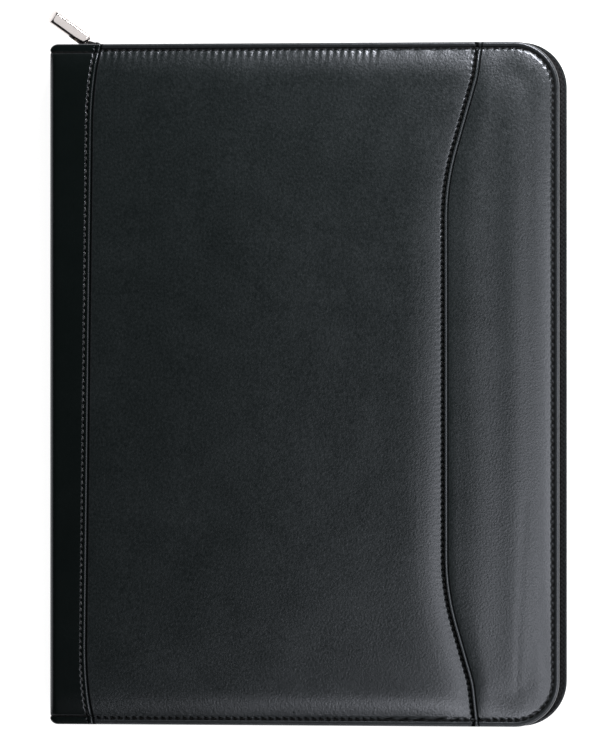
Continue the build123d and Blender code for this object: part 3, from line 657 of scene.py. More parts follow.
def pocket_shell(x, y):
    """The panel over points of its outline: its rim, its mouth's lip, the padding, and painted shadow beside the spine
    panel.
    """
    base = padded_shape(x, y)
    gap = edge_distance(mouth_x, x, y)
    sewing, shade_mask = rim_detail(x, y, inset_of(x, y))
    edge, line = lip(gap, MOUTH_SEAM, MOUTH_HALF, 0.35, 1.2, np.cos(2 * np.pi * y / MOUTH_PITCH))
    lifted = 0.22 * np.clip(1 - gap / 1.4, 0, 1)
    # Painted shadow on the panel along the spine panel's lapped edge.
    shade = ease((1.5 - x + wing_x(y)) / 0.9)
    back = FRONT_RIM + LEATHER + base + lifted
    return cover_shell(x, y, back + LEATHER + sewing + edge, back), over_face(np.maximum(np.maximum(shade_mask, line), shade))


y = rows_of(3.0, np.concatenate([NEAR_EDGE, [7.7, 8.9, 10.3, 12, 14, 16.5, 19.5]]))[:, None]
under = COVER_LEFT + (wing_x(y) - 0.6 - COVER_LEFT) * np.linspace(0, 1, 8)[:-1]
beside = wing_x(y) + np.array([-0.6, 0, 0.3, 0.6, 0.9, 1.2, 1.5, 1.9, 2.4, 3.0])
columns = beside[:, -1:] + (TURN_X - beside[:, -1:]) * np.linspace(0, 1, 160)[1:]
between = TURN_X + (mouth_x(y) - NEAR_MOUTH[-1] - TURN_X) * np.linspace(0, 1, 14)[1:]
x = np.concatenate([under, beside, columns, between], 1)
wide_part = pocket_shell(x, np.broadcast_to(y, x.shape))
y = rows_of(MOUTH_PITCH / 4)[:, None]
x = mouth_x(y) - np.broadcast_to(NEAR_MOUTH[::-1], (len(y), len(NEAR_MOUTH)))
mouth_part = pocket_shell(x, np.broadcast_to(y, x.shape))
pocket_panel = make_piece(
    "slip_pocket_panel", [wide_part[0], mouth_part[0]], outer_leather, "front_cover",
    ("front_pocket_panel",), painted_shade=np.concatenate([wide_part[1], mouth_part[1]]))

# %% [markdown]
# Back cover. It is the front cover's sheet without the pocket, turned over, from the spine panel's butted seam.

# %% Back cover leather
y = rows_of(SEAM_PITCH / 4)[:, None]
left = wing_x(y) + 0.2
outer = corner_x(y) - NEAR_EDGE[::-1]
x = np.concatenate([left + (outer[:, :1] - left) * np.linspace(0, 1, 56)[:-1], outer], 1)
y = np.broadcast_to(y, x.shape)
inset = inset_of(x, y)
sewing, shade_mask = rim_detail(x, y, inset, ease((x - 62) / 6))
rim = TOP - FRONT_RIM - 2 * LEATHER
rise = crown(padding_inset(x, y))
shell = cover_shell(x, y, rim - LEATHER - rise - sewing, rim - rise)
back_cover_leather = make_piece(
    "back_cover_leather", [shell], outer_leather, "back_cover", ("back_leather", "back_foam"),
    painted_shade=over_face(shade_mask))

# %% [markdown]
# Spine panel. One piece of leather laps onto the front cover, turns round the fold and runs down the spine; the
# other half is its mirror image. The two halves meet in the middle of the spine.

# %% Spine panel
WING_SEAM, WING_PITCH = 2.4, 3.2
END_SEAM = 4.2
PROFILE_NEAR = np.array([0, .05, .15, .3, .5, .7, .95, 1.3, 1.65, 1.9, 2.05, 2.2, 2.4, 2.6, 2.75, 2.9, 3.2, 3.7,
                         4.5, 5.4, 6.6])
y = rows_of(0.8)[:, None]
reach = wing_x(y) - HINGE_X
near = np.broadcast_to(PROFILE_NEAR, (len(y), len(PROFILE_NEAR)))
far = PROFILE_NEAR[-1] + (reach - PROFILE_NEAR[-1]) * np.linspace(0, 1, 9)[1:]
gap = np.concatenate([near, far], 1)
turn = np.broadcast_to(np.radians(np.linspace(0, 90, 15)[1:]), (len(y), 14))
hinge_z = TOP - FOLD_R
drop = np.broadcast_to(np.linspace(0, hinge_z - MIDDLE, 8)[1:], (len(y), 7))
inset = HALF_H - np.abs(y)
zeros = np.zeros_like(drop)
angle = np.concatenate([0 * gap, turn, zeros + np.pi / 2], 1)
beat = np.cos(2 * np.pi * y / WING_PITCH)
edge, line = lip(np.concatenate([gap, 50 + turn, 50 + drop], 1), WING_SEAM, 0.35, 0.15, 0.7, beat)
end_line = dip_line(inset, END_SEAM, 0.45)
swell = 0.25 * np.sin(np.pi * np.clip(inset / END_SEAM, 0, 1))
detail = edge + swell - roll_off(inset, EDGE_ROLL) - 0.4 * end_line
lower = (RISE - crown(inset)) * np.cos(angle)
tuck = np.sqrt(np.maximum(FOLD_R ** 2 - np.maximum(FOLD_R - inset, 0) ** 2, 0)) / FOLD_R


def spine_face(height):
    """Profile of the panel at a height over its outer face: flat wing, quarter turn, then the wall."""
    radius = FOLD_R + height
    out = radius * np.sin(angle) * (0.08 + 0.92 * tuck)
    x = np.concatenate([wing_x(y) - gap, HINGE_X - 0 * turn, HINGE_X + zeros], 1) - out
    z = hinge_z + radius * np.cos(angle) - lower - np.concatenate([0 * gap, 0 * turn, drop], 1)
    return np.stack([x, np.broadcast_to(y, x.shape), z], -1)


upper = closed_sheet(spine_face(detail), spine_face(-LEATHER))
flush = closed_sheet(spine_face(np.minimum(detail, 0)), spine_face(-LEATHER))
# Painted shade over the outer part of the fold and down the spine's wall; with the sewn lines it goes to the stored
# shade.
shade = 0.85 * ease((angle - 0.85) / 0.5) * ease((1.62 - angle) / 0.06)
shade_mask = over_face(np.maximum(np.maximum(line, end_line) * 0.9, shade))
turned = (flush[0] * [1, 1, -1] + [0, 0, TOP], flush[1])
bend = FOLD_R / 2 * MM
for name, shell, pair, level, way in (
    ("spine_panel_front", upper, ("spine", "front_cover"), hinge_z, 1),
    ("spine_panel_back", turned, ("spine", "back_cover"), TOP - hinge_z, -1),
):
    piece = make_piece(name, [shell], painted_dark_spine_finish, painted_shade=shade_mask)
    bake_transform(piece)
    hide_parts(*(("spine_wing_front", "spine_leather") if way > 0 else ("spine_wing_back",)))


# %% [markdown]
# Stitches. Each is a short rounded thread, six points round and six along, laid on the leather a little aslant as a
# lock stitch lies. A seam is one mesh of them.

# %% Stitches
def sew(name, at, along, up, length, body, finish=black_thread, slant=8.0, width=0.34, blend=None):
    """One thread shape at each place: a ring of six points at six stations along, thick in the middle."""
    along = along / np.linalg.norm(along, axis=-1, keepdims=True)
    side = np.cross(up, along)
    along = along * math.cos(math.radians(slant)) + side * math.sin(math.radians(slant))
    side = np.cross(up, along)
    station = np.array([-1, -0.86, -0.4, 0.4, 0.86, 1])[None, :, None, None]
    girth = np.array([0.35, 0.8, 1, 1, 0.8, 0.35])[None, :, None, None] * width
    round_ = circle(6)[None, None, :, None]
    bow = -0.16 * (station ** 2) * up[:, None, None]
    points = (at[:, None, None] + along[:, None, None] * station * length / 2 + bow
              + girth * (np.cos(round_) * side[:, None, None] + 0.8 * np.sin(round_) * up[:, None, None]))
    piece = make_piece(name, [closed_bar(rings) for rings in points], finish, body)
    if blend:
        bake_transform(piece)


def facing(way, count):
    """The direction out of a level face, up or down, once for each stitch."""
    return np.tile([0.0, 0, way], (count, 1))


def along_edge(run, inset, start):
    """After a run along the head, round a corner, down the opening edge and back: centre of turn, and direction out."""
    radius = CORNER_R - inset
    end, corner = STRAIGHT_X - start, radius * np.pi / 2
    knots = np.cumsum([0, end, corner, 2 * STRAIGHT_Y, corner, end])
    part = [np.clip(run - a, 0, b - a) for a, b in zip(knots[:-1], knots[1:])]
    angle = np.pi / 2 - (part[1] + part[3]) / radius
    out = np.stack([np.cos(angle), np.sin(angle)], -1)
    centre = np.stack([start + part[0] - part[4], STRAIGHT_Y - part[2]], -1)
    return centre, out, knots[-1]


def rim_stitches(name, height, up, body):
    """Stitches round a cover's three open edges, on a height that is a function of x and y."""
    run = (np.arange(int(SEAM_LENGTH / SEAM_PITCH)) + 0.5) * SEAM_PITCH
    centre, out, _ = along_edge(run, SEAM_INSET, SEAM_START)
    place = centre + out * (CORNER_R - SEAM_INSET)
    at = at_height(place, height(place[:, 0], place[:, 1]))
    along = np.stack([out[:, 1], -out[:, 0], 0 * run], -1)
    sew(name, at, along, facing(up, len(run)), 2.7, body)


def front_height(x, y):
    """Outer leather of the front cover, where the rim stitches lie: the pocket panel is one leather higher."""
    inset = inset_of(x, y)
    layer = 1 + ease((mouth_x(y) - x) / 0.8)
    return FRONT_RIM + layer * LEATHER + padded_shape(x, y) - 0.26


rim_stitches("front_rim_stitches", front_height, 1.0, "front_cover")
rim_stitches("back_rim_stitches", lambda x, y: 0 * x + rim - LEATHER + 0.26, -1.0, "back_cover")
rim_stitches("front_tape_stitches", lambda x, y: 0 * x + FRONT_IN + 0.62, -1.0, "front_cover")
rim_stitches("back_tape_stitches", lambda x, y: 0 * x + BACK_IN - 0.62, 1.0, "back_cover")


def edge_stitches(name, edge, seam, level, pitch, body, finish, way=1, length=2.2, width=0.34):
    """Stitches up a curved edge, a seam's distance in from it, half a pitch from the needle holes."""
    y = (np.arange(-int((HALF_H - 6) / pitch), int((HALF_H - 6) / pitch)) + 0.5) * pitch
    lean = (edge(y + 0.05) - edge(y - 0.05)) / 0.1
    x = edge(y) - seam * np.hypot(1, lean)
    at = np.stack([x, y, level(x, y)], -1)
    along = np.stack([lean, 0 * y + 1, 0 * y], -1)
    sew(name, at, along, facing(way, len(y)), length, body, finish, way * 14.0, width)


def mouth_level(x, y):
    """Height of the stitches beside the pocket's mouth."""
    return FRONT_RIM + 2 * LEATHER + padded_shape(x, y) - 0.45


def wing_drop(x, y):
    """How far the spine panel's edge stitches lie below its outer face."""
    return RISE - crown(HALF_H - np.abs(y)) + 0.42


edge_stitches("pocket_mouth_stitches", mouth_x, MOUTH_SEAM, mouth_level, MOUTH_PITCH, "front_cover", black_thread)
edge_stitches("spine_edge_stitches_front", wing_x, WING_SEAM, lambda x, y: TOP - wing_drop(x, y), WING_PITCH,
              "front_cover", pale_thread, 1, 1.9, 0.24)
edge_stitches("spine_edge_stitches_back", wing_x, WING_SEAM, wing_drop, WING_PITCH,
              "back_cover", pale_thread, -1, 1.9, 0.24)


def spine_end_stitches(name, way, pair):
    """Stitches across both ends of the spine panel, from its edge to the start of the fold."""
    x = np.arange(HINGE_X - 1.6, WING_X + 1.0, 3.2)
    level = TOP - RISE + crown(END_SEAM) - 0.14
    turned = -FOLD_R * (1 - np.sqrt(1 - np.clip((HINGE_X - x) / FOLD_R, 0, 1) ** 2)) * 0.4
    at = np.concatenate([np.stack([x, 0 * x + end * (HALF_H - END_SEAM), level + turned], -1) for end in (1, -1)])
    at[:, 2] = at[:, 2] if way > 0 else TOP - at[:, 2]
    mark = (HINGE_X * MM, 0, (hinge_z if way > 0 else TOP - hinge_z) * MM)
    ends = [(mark[0] - side * bend, 0, mark[2] - side * way * bend) for side in (1, -1)]
    sew(name, at, np.tile([1.0, 0, 0], (len(at), 1)), facing(way, len(at)), 2.2, None, blend=(pair, ends[0], ends[1]))


spine_end_stitches("spine_end_stitches_front", 1, ("spine", "front_cover"))
spine_end_stitches("spine_end_stitches_back", -1, ("spine", "back_cover"))


# %% [markdown]
# Zip. Each tape is a woven strip, sewn flat to the rim and turned up into a wall; its edge carries a nylon coil.
# A coil's turn is a small bent thread over the tape's edge, and the turns of the two tapes stand in each other's gaps.

# %% Zip tapes
run = np.arange(0, along_edge(0.0, ZIP_INSET, ZIP_LEFT)[2], 2.0)
centre, out, zip_length = along_edge(run, ZIP_INSET, ZIP_LEFT)
bend_angle = np.radians(np.linspace(0, 90, 7))
TAPE = 0.7
profile_inset = np.concatenate([[1.0, 1.2, 2.0, 3.0], 3.4 + 0.9 * np.sin(bend_angle), [4.3] * 5])
profile_rise = np.concatenate([[0.1, 0, 0, 0], 0.9 * (1 - np.cos(bend_angle)), [2.0, 3.2, 4.6, 6.0, 7.6]])
lean_in = np.concatenate([[0.0] * 4, np.sin(bend_angle), [1.0] * 5])
stand = np.concatenate([[1.0] * 4, np.cos(bend_angle), [0.0] * 5])


def tape_face(level, way, offset):
    """The tape's profile carried along the zip: inset from the edge, rise from the rim, and an offset for its back."""
    inset = profile_inset + offset * lean_in
    flat = centre[:, None] + out[:, None] * (CORNER_R - inset)[None, :, None]
    return at_height(flat, level + way * (profile_rise + offset * stand))


across = np.concatenate([[0], np.cumsum(np.hypot(np.diff(profile_inset), np.diff(profile_rise)))])
tape_uv = np.stack(np.broadcast_arrays(run[:, None], across[None, :]), -1).reshape(-1, 2) * MM
for name, level, way, body, rests in (
    ("lower_zip_tape_cloth", BACK_IN - 1.6, 1, "back_cover", back_cover_leather),
    ("upper_zip_tape_cloth", FRONT_IN + 1.6, -1, "front_cover", front_cover_leather),
):
    shell = closed_sheet(tape_face(level, way, 0), tape_face(level, way, TAPE))
    piece = make_piece(name, [shell], tape_cloth, body, (name.replace("_cloth", ""),),
                       uv=np.tile(tape_uv, (2, 1)))

# %% Zip coils
TOOTH_PITCH = 1.55
COIL_WIDE, COIL_TALL, COIL_FOOT, COIL_BACK = 1.05, 2.1, 0.9, 1.95
U_ANGLE = np.radians(np.array([-20, 15, 55, 90, 125, 165, 200]))
for name, way, first, body in (
    ("lower_zip_coil", 1, 3.5, "back_cover"),
    ("upper_zip_coil", -1, 18.3, "front_cover"),
):
    run = np.arange(first, zip_length - 3.5, TOOTH_PITCH) + (TOOTH_PITCH / 2 if way < 0 else 0)
    spot, outward, _ = along_edge(run, ZIP_INSET, ZIP_LEFT)
    across_turn = COIL_WIDE * np.cos(U_ANGLE)
    rise = np.where(np.sin(U_ANGLE) > 0, COIL_TALL * np.sin(U_ANGLE), COIL_FOOT * np.sin(U_ANGLE))
    middle = spot[:, None] + outward[:, None] * (CORNER_R - ZIP_INSET + across_turn)[None, :, None]
    line = at_height(middle, ZIP_Z - way * COIL_BACK + way * rise)
    flat = np.stack([outward[:, 1], -outward[:, 0], 0 * run], -1)[:, None, None]
    normal = at_height(outward[:, None] * np.cos(U_ANGLE)[None, :, None], way * np.sin(U_ANGLE))[:, :, None]
    around = circle(5)[None, None, :, None]
    rings = line[:, :, None] + 0.36 * np.cos(around) * flat + 0.32 * np.sin(around) * normal
    make_piece(name, [closed_bar(turn) for turn in rings], coil_nylon, body, (name.replace("coil", "row"),))

# %% [markdown]
# The slider, link and stops keep their CAD shapes and get black enamel. The pull is drawn again, because its
# lens-shaped bar needs a smooth swell and a rounded edge: sections along the bar, with an eye at one end.

# %% Slider, link and pull
dress(black_enamel, "zip_slider", "pull_link", "lower_zip_stops", "upper_zip_stops")
pull_joint = next(joint for joint in frame["joints"] if joint["name"] == "pull_swing")
pivot = np.array(pull_joint["pos_m"]) / MM
heading = math.radians(145.0)
bar_along = np.array([math.cos(heading), math.sin(heading), 0])
bar_side = np.array([-math.sin(heading), math.cos(heading), 0])
station = np.array([1.5, 1.6, 1.75, 2.0, 2.3, 2.7, 3.2, 4.0, 6.0, 9.0, 12.0, 15.0, 18.0, 21.0, 23.0, 24.6, 25.7, 26.0])
knot = [1.5, 1.6, 2.0, 2.7, 3.2, 25.7, 26.0]
half_wide = np.interp(station, knot, [1.6, 2.0, 2.9, 3.45, 3.6, 3.6, 3.45])
half_thick = np.interp(station, knot, [0.8, 1.1, 1.6, 1.92, 2.0, 2.0, 1.88])
round_ = circle(40)
wide = np.sign(np.cos(round_)) * np.abs(np.cos(round_)) ** 0.82
thick = np.sign(np.sin(round_)) * np.abs(np.sin(round_)) ** 1.15
lean_back = ease((station - 19.0) / 7.0) * 0.84
forward = station[:, None] - lean_back[:, None] * (half_thick[:, None] * thick[None] + 2.0)
bar = (pivot + forward[..., None] * bar_along + (half_wide[:, None] * wide[None])[..., None] * bar_side
       + (half_thick[:, None] * thick[None])[..., None] * np.array([0, 0, 1.0]))
eye_turn, eye_round = circle(32)[:, None, None], circle(12)[None, :, None]
eye_out = np.cos(eye_turn) * bar_along + np.sin(eye_turn) * bar_side
eye = pivot + eye_out * (1.04 + 0.28 * np.cos(eye_round)) + np.array([0, 0, 0.95]) * np.sin(eye_round)
pull = make_piece("zip_pull_bar", [closed_bar(bar), closed_loop(eye)], nickel, "pull", ("zip_pull",),
                  sharp=38.0)

# %% [markdown]
# Linings. Each is one piece of woven cloth, glued over the board, that runs on across the fold and up the spine. It
# passes through the hinge line, where it neither stretches nor slackens as the case opens.


# %% Linings
LINING, LINING_INSET = 0.5, 5.6
LINING_H = HALF_H - LINING_INSET


def lining(name, level, way, hinge_level, nodes):
    """Cloth over a cover, down to the hinge and up half the spine: a line of x and z, carried from tail to head."""
    y = np.linspace(-1, 1, 61)[:, None] * LINING_H
    right = corner_x(y * HALF_H / LINING_H) - LINING_INSET
    cover = COVER_LEFT + 0.3 + (right - COVER_LEFT - 0.3) * np.linspace(1, 0, 40)
    slope_x = np.linspace(COVER_LEFT, HINGE_X, 8)[1:]
    slope_z = level + (hinge_level - level) * ease((COVER_LEFT - slope_x) / (COVER_LEFT - HINGE_X))
    wall_z = np.linspace(hinge_level, MIDDLE, 12)[1:]
    wall_x = HINGE_X - 0.7 * ease((wall_z - hinge_level) / (MIDDLE - hinge_level) * 6)
    x = np.concatenate([cover, np.broadcast_to(np.concatenate([slope_x, wall_x]), (len(y), 18))], 1)
    z = np.broadcast_to(np.concatenate([np.full(40, level), slope_z, wall_z]), x.shape)
    y = np.broadcast_to(y, x.shape)
    face = np.stack([x, y, z], -1)
    lean = np.concatenate([np.zeros(40), np.linspace(0, 1, 8)[1:] * 0.7, np.full(11, 1.0)])
    back = face - LINING * np.stack(np.broadcast_arrays(lean, 0.0, way * np.sqrt(1 - lean ** 2)), -1)[None]
    run = np.concatenate([[0], np.cumsum(np.hypot(np.diff(x[30]), np.diff(z[30])))])
    uv = np.stack(np.broadcast_arrays(run[None, :], y), -1).reshape(-1, 2) * MM
    piece = make_piece(name, [closed_sheet(face, back)], lining_cloth, uv=np.tile(uv, (2, 1)))
    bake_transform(piece)
    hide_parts(*nodes)


lining("back_lining_cloth", BACK_IN, 1, TOP - hinge_z, ["back_lining", "spine_lining"])
lining("front_lining_cloth", FRONT_IN, -1, hinge_z, ["front_lining"])


# %% [markdown]
# Pockets, sleeve and pen loop inside. A pocket is a leather panel sewn down on some edges and raised in the middle,
# with a rolled lip along its mouth.

# %% Leather panels inside
NEAR_SEAM = np.array([0, 0.06, 0.18, 0.36, 0.6, 0.9, 1.1, 1.25, 1.4, 1.7, 2.1, 2.7, 3.5, 4.6, 6.2])
PANEL_SEAM = 1.25


def spread(length):
    """Places across a panel, close together at both edges."""
    middle = np.linspace(NEAR_SEAM[-1], length - NEAR_SEAM[-1], max(3, round(length / 4)))
    return np.concatenate([NEAR_SEAM[:-1], middle, length - NEAR_SEAM[-2::-1]])


def panel_shell(corners, level, way, thickness, lift, border):
    """A panel between four corners (tail-left, tail-right, head-right, head-left), its mouth at the head."""
    a, b, c, d = (np.array(corner, float) for corner in corners)
    across, up = b[0] - a[0], max(c[1] - b[1], d[1] - a[1])
    u, v = np.meshgrid(spread(across) / across, spread(up) / up)
    right, head = u[..., None], v[..., None]
    flat = (1 - head) * ((1 - right) * a + right * b) + head * ((1 - right) * d + right * c)
    sides = np.minimum(np.minimum(u, 1 - u) * across, v * up)
    mouth = (1 - v) * up
    raised = lift * ease((sides - border) / 2.0)
    bulge = 0.35 * ease(sides / 30) * ease(mouth / 25)
    # The dip along the stitches is also passed on as painted shade in the seam.
    sewn = dip_line(sides, PANEL_SEAM, 0.3)
    bead = 0.25 * np.maximum(1 - ((mouth - 1.1) / 1.1) ** 2, 0)
    height = thickness + raised + bulge + bead - 0.25 * sewn - roll_off(np.minimum(sides, mouth), thickness * 0.85)
    face, back = (at_height(flat, level + way * rise) for rise in (height, raised))
    return closed_sheet(face, back), over_face(sewn)


def panel_stitches(name, corners, level, way, thickness, body, sides="lbr"):
    """Stitches along a panel's sewn edges, a seam's width in."""
    a, b, c, d = (np.array(corner, float) for corner in corners)
    runs = {"l": (a, d, [1, 0]), "b": (a, b, [0, 1]), "r": (b, c, [-1, 0])}
    places, ways = [], []
    for side in sides:
        start, end, inward = runs[side]
        length = np.linalg.norm(end - start)
        step = np.arange(3.0, length - 2.0, 3.2)[:, None] / length
        places.append(start + (end - start) * step + np.array(inward) * PANEL_SEAM)
        ways.append(np.tile((end - start) / length, (len(step), 1)))
    place, along = np.concatenate(places), np.concatenate(ways)
    at = at_height(place, level + way * (thickness - 0.12))
    sew(name, at, at_height(along, 0.0), facing(way, len(at)), 2.3, body, pale_thread, width=0.26)


def rectangle(node):
    """Corners of a node's box, tail-left first and round by the right."""
    low, high = box_mm(node)
    return [(low[0], low[1]), (high[0], low[1]), (high[0], high[1]), (low[0], high[1])]


def pocket(name, corners, level, way, thickness, lift, border, body, nodes):
    """A sewn leather pocket and its stitches, standing for its nodes."""
    shell, sewn = panel_shell(corners, level, way, thickness, lift, border)
    make_piece(name, [shell], inner_leather, body, nodes, painted_shade=sewn)
    panel_stitches(name + "_stitches", corners, level, way, thickness, body)


for layer, place in enumerate(("upper", "middle", "lower")):
    name = f"card_pocket_{place}"
    pocket(name + "_leather", rectangle(name), FRONT_IN - 0.8 * layer, -1, 0.75, 0.0, 2.0, "front_cover", [name])
corners = rectangle("document_pocket")
corners[3] = (corners[3][0], corners[3][1] - 30.0)
pocket("document_pocket_leather", corners, FRONT_IN, -1, 0.8, 0.6, 4.0, "front_cover",
       ["document_pocket", "document_pocket_welts"])
pocket("pad_sleeve_leather", rectangle("pad_sleeve"), BACK_IN, 1, 0.8, 0.7, 0.2, "back_cover",
       ["pad_sleeve", "pad_sleeve_welts"])


# %% [markdown]
# The pen loop is a strip of leather bent round into a ring, on a tab. The window's frame is a flat ring of leather.

# %% Pen loop and window frame
def strip_section(half_wide, thickness):
    """Section of a strip: a flat oblong with rounded ends, as points (across, through)."""
    turn = np.radians(np.linspace(-90, 90, 7))
    radius = thickness / 2
    side = np.stack([half_wide - radius + radius * np.cos(turn), radius + radius * np.sin(turn)], -1)
    return np.concatenate([side, side[::-1] * [-1, 1]])


LOOP, LOOP_R, LOOP_RISE = 0.7, 5.5, 6.2
loop_low, loop_high = box_mm("pen_loop")
pen = np.array([(loop_low[0] + loop_high[0]) / 2, (loop_low[1] + loop_high[1]) / 2, BACK_IN + LOOP_RISE])
section = strip_section((loop_high[1] - loop_low[1]) / 2, LOOP)
turn = circle(72)[:, None]
radius = LOOP_R + section[None, :, 1]
ring = np.stack(np.broadcast_arrays(
    pen[0] + radius * np.sin(turn), pen[1] + section[None, :, 0], pen[2] - radius * np.cos(turn)), -1)
tab_corners = rectangle("pen_loop")
tab, sewn = panel_shell(tab_corners, BACK_IN, 1, LOOP, 0.0, 2.0)
make_piece("pen_loop_leather", [closed_loop(ring), tab], inner_leather, "back_cover", ("pen_loop",),
           painted_shade=np.concatenate([np.zeros(ring.size // 3), sewn]))
panel_stitches("pen_loop_stitches", tab_corners, BACK_IN, 1, LOOP, "back_cover", "lr")

frame_low, frame_high = box_mm("id_window_frame")
BORDER = 9.0
half = (frame_high - frame_low)[:2] / 2
corner_turn = np.radians(np.arange(0, 360, 10.0) + 5.0)
quarter = np.stack([np.sign(np.cos(corner_turn)), np.sign(np.sin(corner_turn))], -1)
arc = np.stack([np.cos(corner_turn), np.sin(corner_turn)], -1)
side_in = np.array([0, 0.1, 0.3, 0.6, 1.0, 1.25, 1.5, 2.0, 4.0, 7.0, 8.2, 8.7, 9.0])
drop = roll_off(np.minimum(side_in, BORDER - side_in), 0.9) + 0.25 * dip_line(side_in, PANEL_SEAM, 0.3)
profile_in = np.concatenate([side_in, side_in[::-1]])
profile_z = FRONT_IN - np.concatenate([1.15 - drop, 0 * side_in])
middle = (frame_low + frame_high)[:2] / 2
corner_r = np.maximum(3.0 - profile_in, 0.4)
flat = (middle + quarter[:, None] * (half - profile_in[:, None] - corner_r[:, None])[None]
        + arc[:, None] * corner_r[None, :, None])
rings = at_height(flat, profile_z)
# Painted shade along the frame's stitched line.
line = np.concatenate([dip_line(side_in, PANEL_SEAM, 0.3), 0 * side_in])
make_piece("window_frame_leather", [closed_loop(rings)], inner_leather, "front_cover",
           ("id_window_frame",), painted_shade=np.tile(line, len(rings)))
panel_stitches("window_frame_stitches", rectangle("id_window_frame"), FRONT_IN, -1, 1.1, "front_cover")
dress(vinyl, "id_window")

# %% [markdown]
# Writing pad. The block of pages is a stack of outlines, each a hair out of line, as cut paper is. The binding is a
# strip folded over the head of the block; the card below keeps its CAD shape.

# %% Writing pad
page_low, page_high = box_mm("pad_paper")
layers = 40
uneven = np.random.default_rng(3).uniform(-0.1, 0.1, (layers, 2))
height = np.linspace(page_low[2], page_high[2], layers)
middle, half = (page_low + page_high)[:2] / 2, (page_high - page_low)[:2] / 2
plan = middle + quarter[None] * (half - 0.6 + uneven[:, None]) + arc[None] * 0.5
rings = at_height(plan, height[:, None])
make_piece("pad_pages", [closed_bar(rings)], paper, "back_cover", ("pad_paper",))

bind_low, bind_high = box_mm("pad_binding")
turn = np.radians(np.linspace(0, 90, 7))
BIND_R, BINDING = 0.9, 0.35


def binding_face(offset):
    """The binding's line: along the top page, round the head of the block and down its end."""
    x = np.linspace(bind_low[0], bind_high[0], 30)[:, None]
    turn_y, turn_z = bind_high[1] - BIND_R, bind_high[2] - BIND_R
    y = np.concatenate([np.linspace(bind_low[1], turn_y, 10), turn_y + (BIND_R - offset) * np.sin(turn),
                        np.full(5, bind_high[1] - offset)])
    z = np.concatenate([np.full(10, bind_high[2] - offset), turn_z + (BIND_R - offset) * np.cos(turn),
                        np.linspace(bind_high[2] - 1.2, bind_low[2], 5)])
    return np.stack(np.broadcast_arrays(x, y, z), -1)


make_piece("pad_binding_strip", [closed_sheet(binding_face(0.0), binding_face(BINDING))], binding_paper,
           "back_cover", ("pad_binding",))
dress(grey_card, "pad_backing_card")
dress(cover_board, "back_board", "front_board", "spine_board")

# %% [markdown]
# Floor, light and camera. The floor is white to the camera and in reflections, and keeps a soft shadow. Soft boxes
# stand to the right and past the head, so the sheen rises towards those edges and the spine stays dark. A white card
# over the pull gives the polished metal something pale to mirror, and lights nothing else.

# %% Floor and background
FLOOR_HALF, FLOOR_Z = 40, -0.0003
floor_corners = [(x * FLOOR_HALF, y * FLOOR_HALF, FLOOR_Z) for x, y in ((-1, -1), (1, -1), (1, 1), (-1, 1))]
floor_mesh = bpy.data.meshes.new("floor")
floor_mesh.from_pydata(floor_corners, [], [(0, 1, 2, 3)])
floor = bpy.data.objects.new("floor", floor_mesh)
bpy.context.scene.collection.objects.link(floor)
floor_finish = bpy.data.materials.new("white_floor")
floor_finish.use_nodes = True
tree = floor_finish.node_tree
tree.nodes.remove(tree.nodes["Principled BSDF"])
rays = node(tree, "ShaderNodeLightPath")
seen = maths(tree, "MAXIMUM", maths(tree, "MAXIMUM", rays.outputs["Is Camera Ray"], rays.outputs["Is Glossy Ray"]),
             rays.outputs["Is Transmission Ray"])
glow = node(tree, "ShaderNodeEmission", {"Color": (1, 1, 1, 1), "Strength": maths(tree, "MULTIPLY", seen, 0.93)})
matt = node(tree, "ShaderNodeBsdfDiffuse", {"Color": (0.35, 0.35, 0.35, 1)})
both = node(tree, "ShaderNodeAddShader", {0: glow.outputs[0], 1: matt.outputs[0]})
feed(tree.nodes["Material Output"], Surface=both.outputs[0])
floor_mesh.materials.append(floor_finish)

world = bpy.data.worlds.new("studio")
bpy.context.scene.world = world
world.use_nodes = True
tree = world.node_tree
up = node(tree, "ShaderNodeSeparateXYZ", {"Vector": node(tree, "ShaderNodeTexCoord").outputs["Generated"]}).outputs["Z"]
ring = stretch(tree, maths(tree, "ABSOLUTE", up), 0.2, 0.3, 1.0, 0.015)
feed(tree.nodes["Background"], Strength=ring)
tree.nodes["Background"].inputs["Color"].default_value = (1, 1, 1, 1)


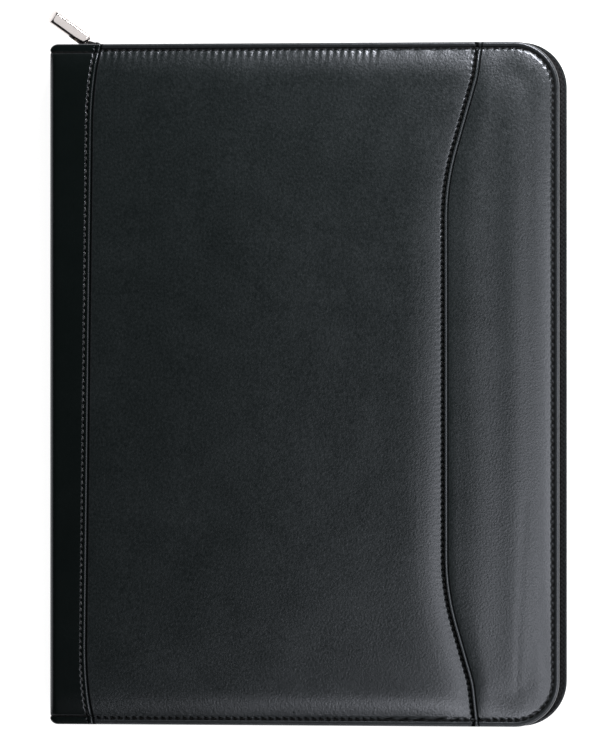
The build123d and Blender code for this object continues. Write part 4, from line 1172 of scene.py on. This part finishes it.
# %% Soft boxes
def soft_box(name, at, aim, size, power):
    """A square lamp at a place in metres, turned to a point on the case."""
    lamp = bpy.data.lights.new(name, "AREA")
    lamp.shape, lamp.size, lamp.size_y, lamp.energy = "RECTANGLE", size[0], size[1], power
    placed = bpy.data.objects.new(name, lamp)
    bpy.context.scene.collection.objects.link(placed)
    placed.location = at
    towards = np.array(aim) - np.array(at)
    placed.rotation_mode = "QUATERNION"
    placed.rotation_quaternion = Vector(towards).to_track_quat("-Z", "Y")
    return placed


soft_box("right_box", (0.46, 0.0, 0.40), (0.05, 0, 0.02), (0.25, 0.3), 0.7)
soft_box("tail_corner_box", (0.42, -0.26, 0.36), (0.05, -0.05, 0.02), (0.25, 0.25), 0.65)
soft_box("head_box", (0.15, 0.57, 0.315), (0.05, 0.1, 0.02), (0.2, 0.15), 3.5)
soft_box("head_corner_box", (0.24, 0.44, 0.42), (0.08, 0.12, 0.02), (0.15, 0.12), 3.5)
soft_box("tail_box", (0.10, -0.55, 0.70), (0.0, -0.05, 0.02), (0.4, 0.3), 1.55)
soft_box("over_box", (0.40, -0.1, 0.95), (0.05, 0.0, 0.02), (0.5, 0.5), 0.9)
soft_box("high_box", (0.20, -0.25, 1.0), (0.05, -0.1, 0.02), (0.35, 0.35), 0.85)
card = soft_box("pull_card", (-0.12, 0.23, 0.36), (-0.12, 0.18, 0.014), (0.42, 0.42), 0.5)
card.light_linking.receiver_collection = bpy.data.collections.new("lit_by_the_card")
card.light_linking.receiver_collection.objects.link(pull)

# %% Camera
YAW, DISTANCE = math.radians(12.0), 6.0
camera = bpy.data.cameras.new("camera")
camera.lens, camera.sensor_width = 584.0, 36.0
view = bpy.data.objects.new("camera", camera)
bpy.context.scene.collection.objects.link(view)
target = np.array([-0.35, 8.4, 14.0]) * MM
view.location = target + DISTANCE * np.array([math.sin(YAW), 0, math.cos(YAW)])
view.rotation_euler = (0, YAW, 0)
bpy.context.scene.camera = view
bpy.context.scene.view_settings.view_transform = "Standard"

# %% View layer update
bpy.context.view_layer.update()
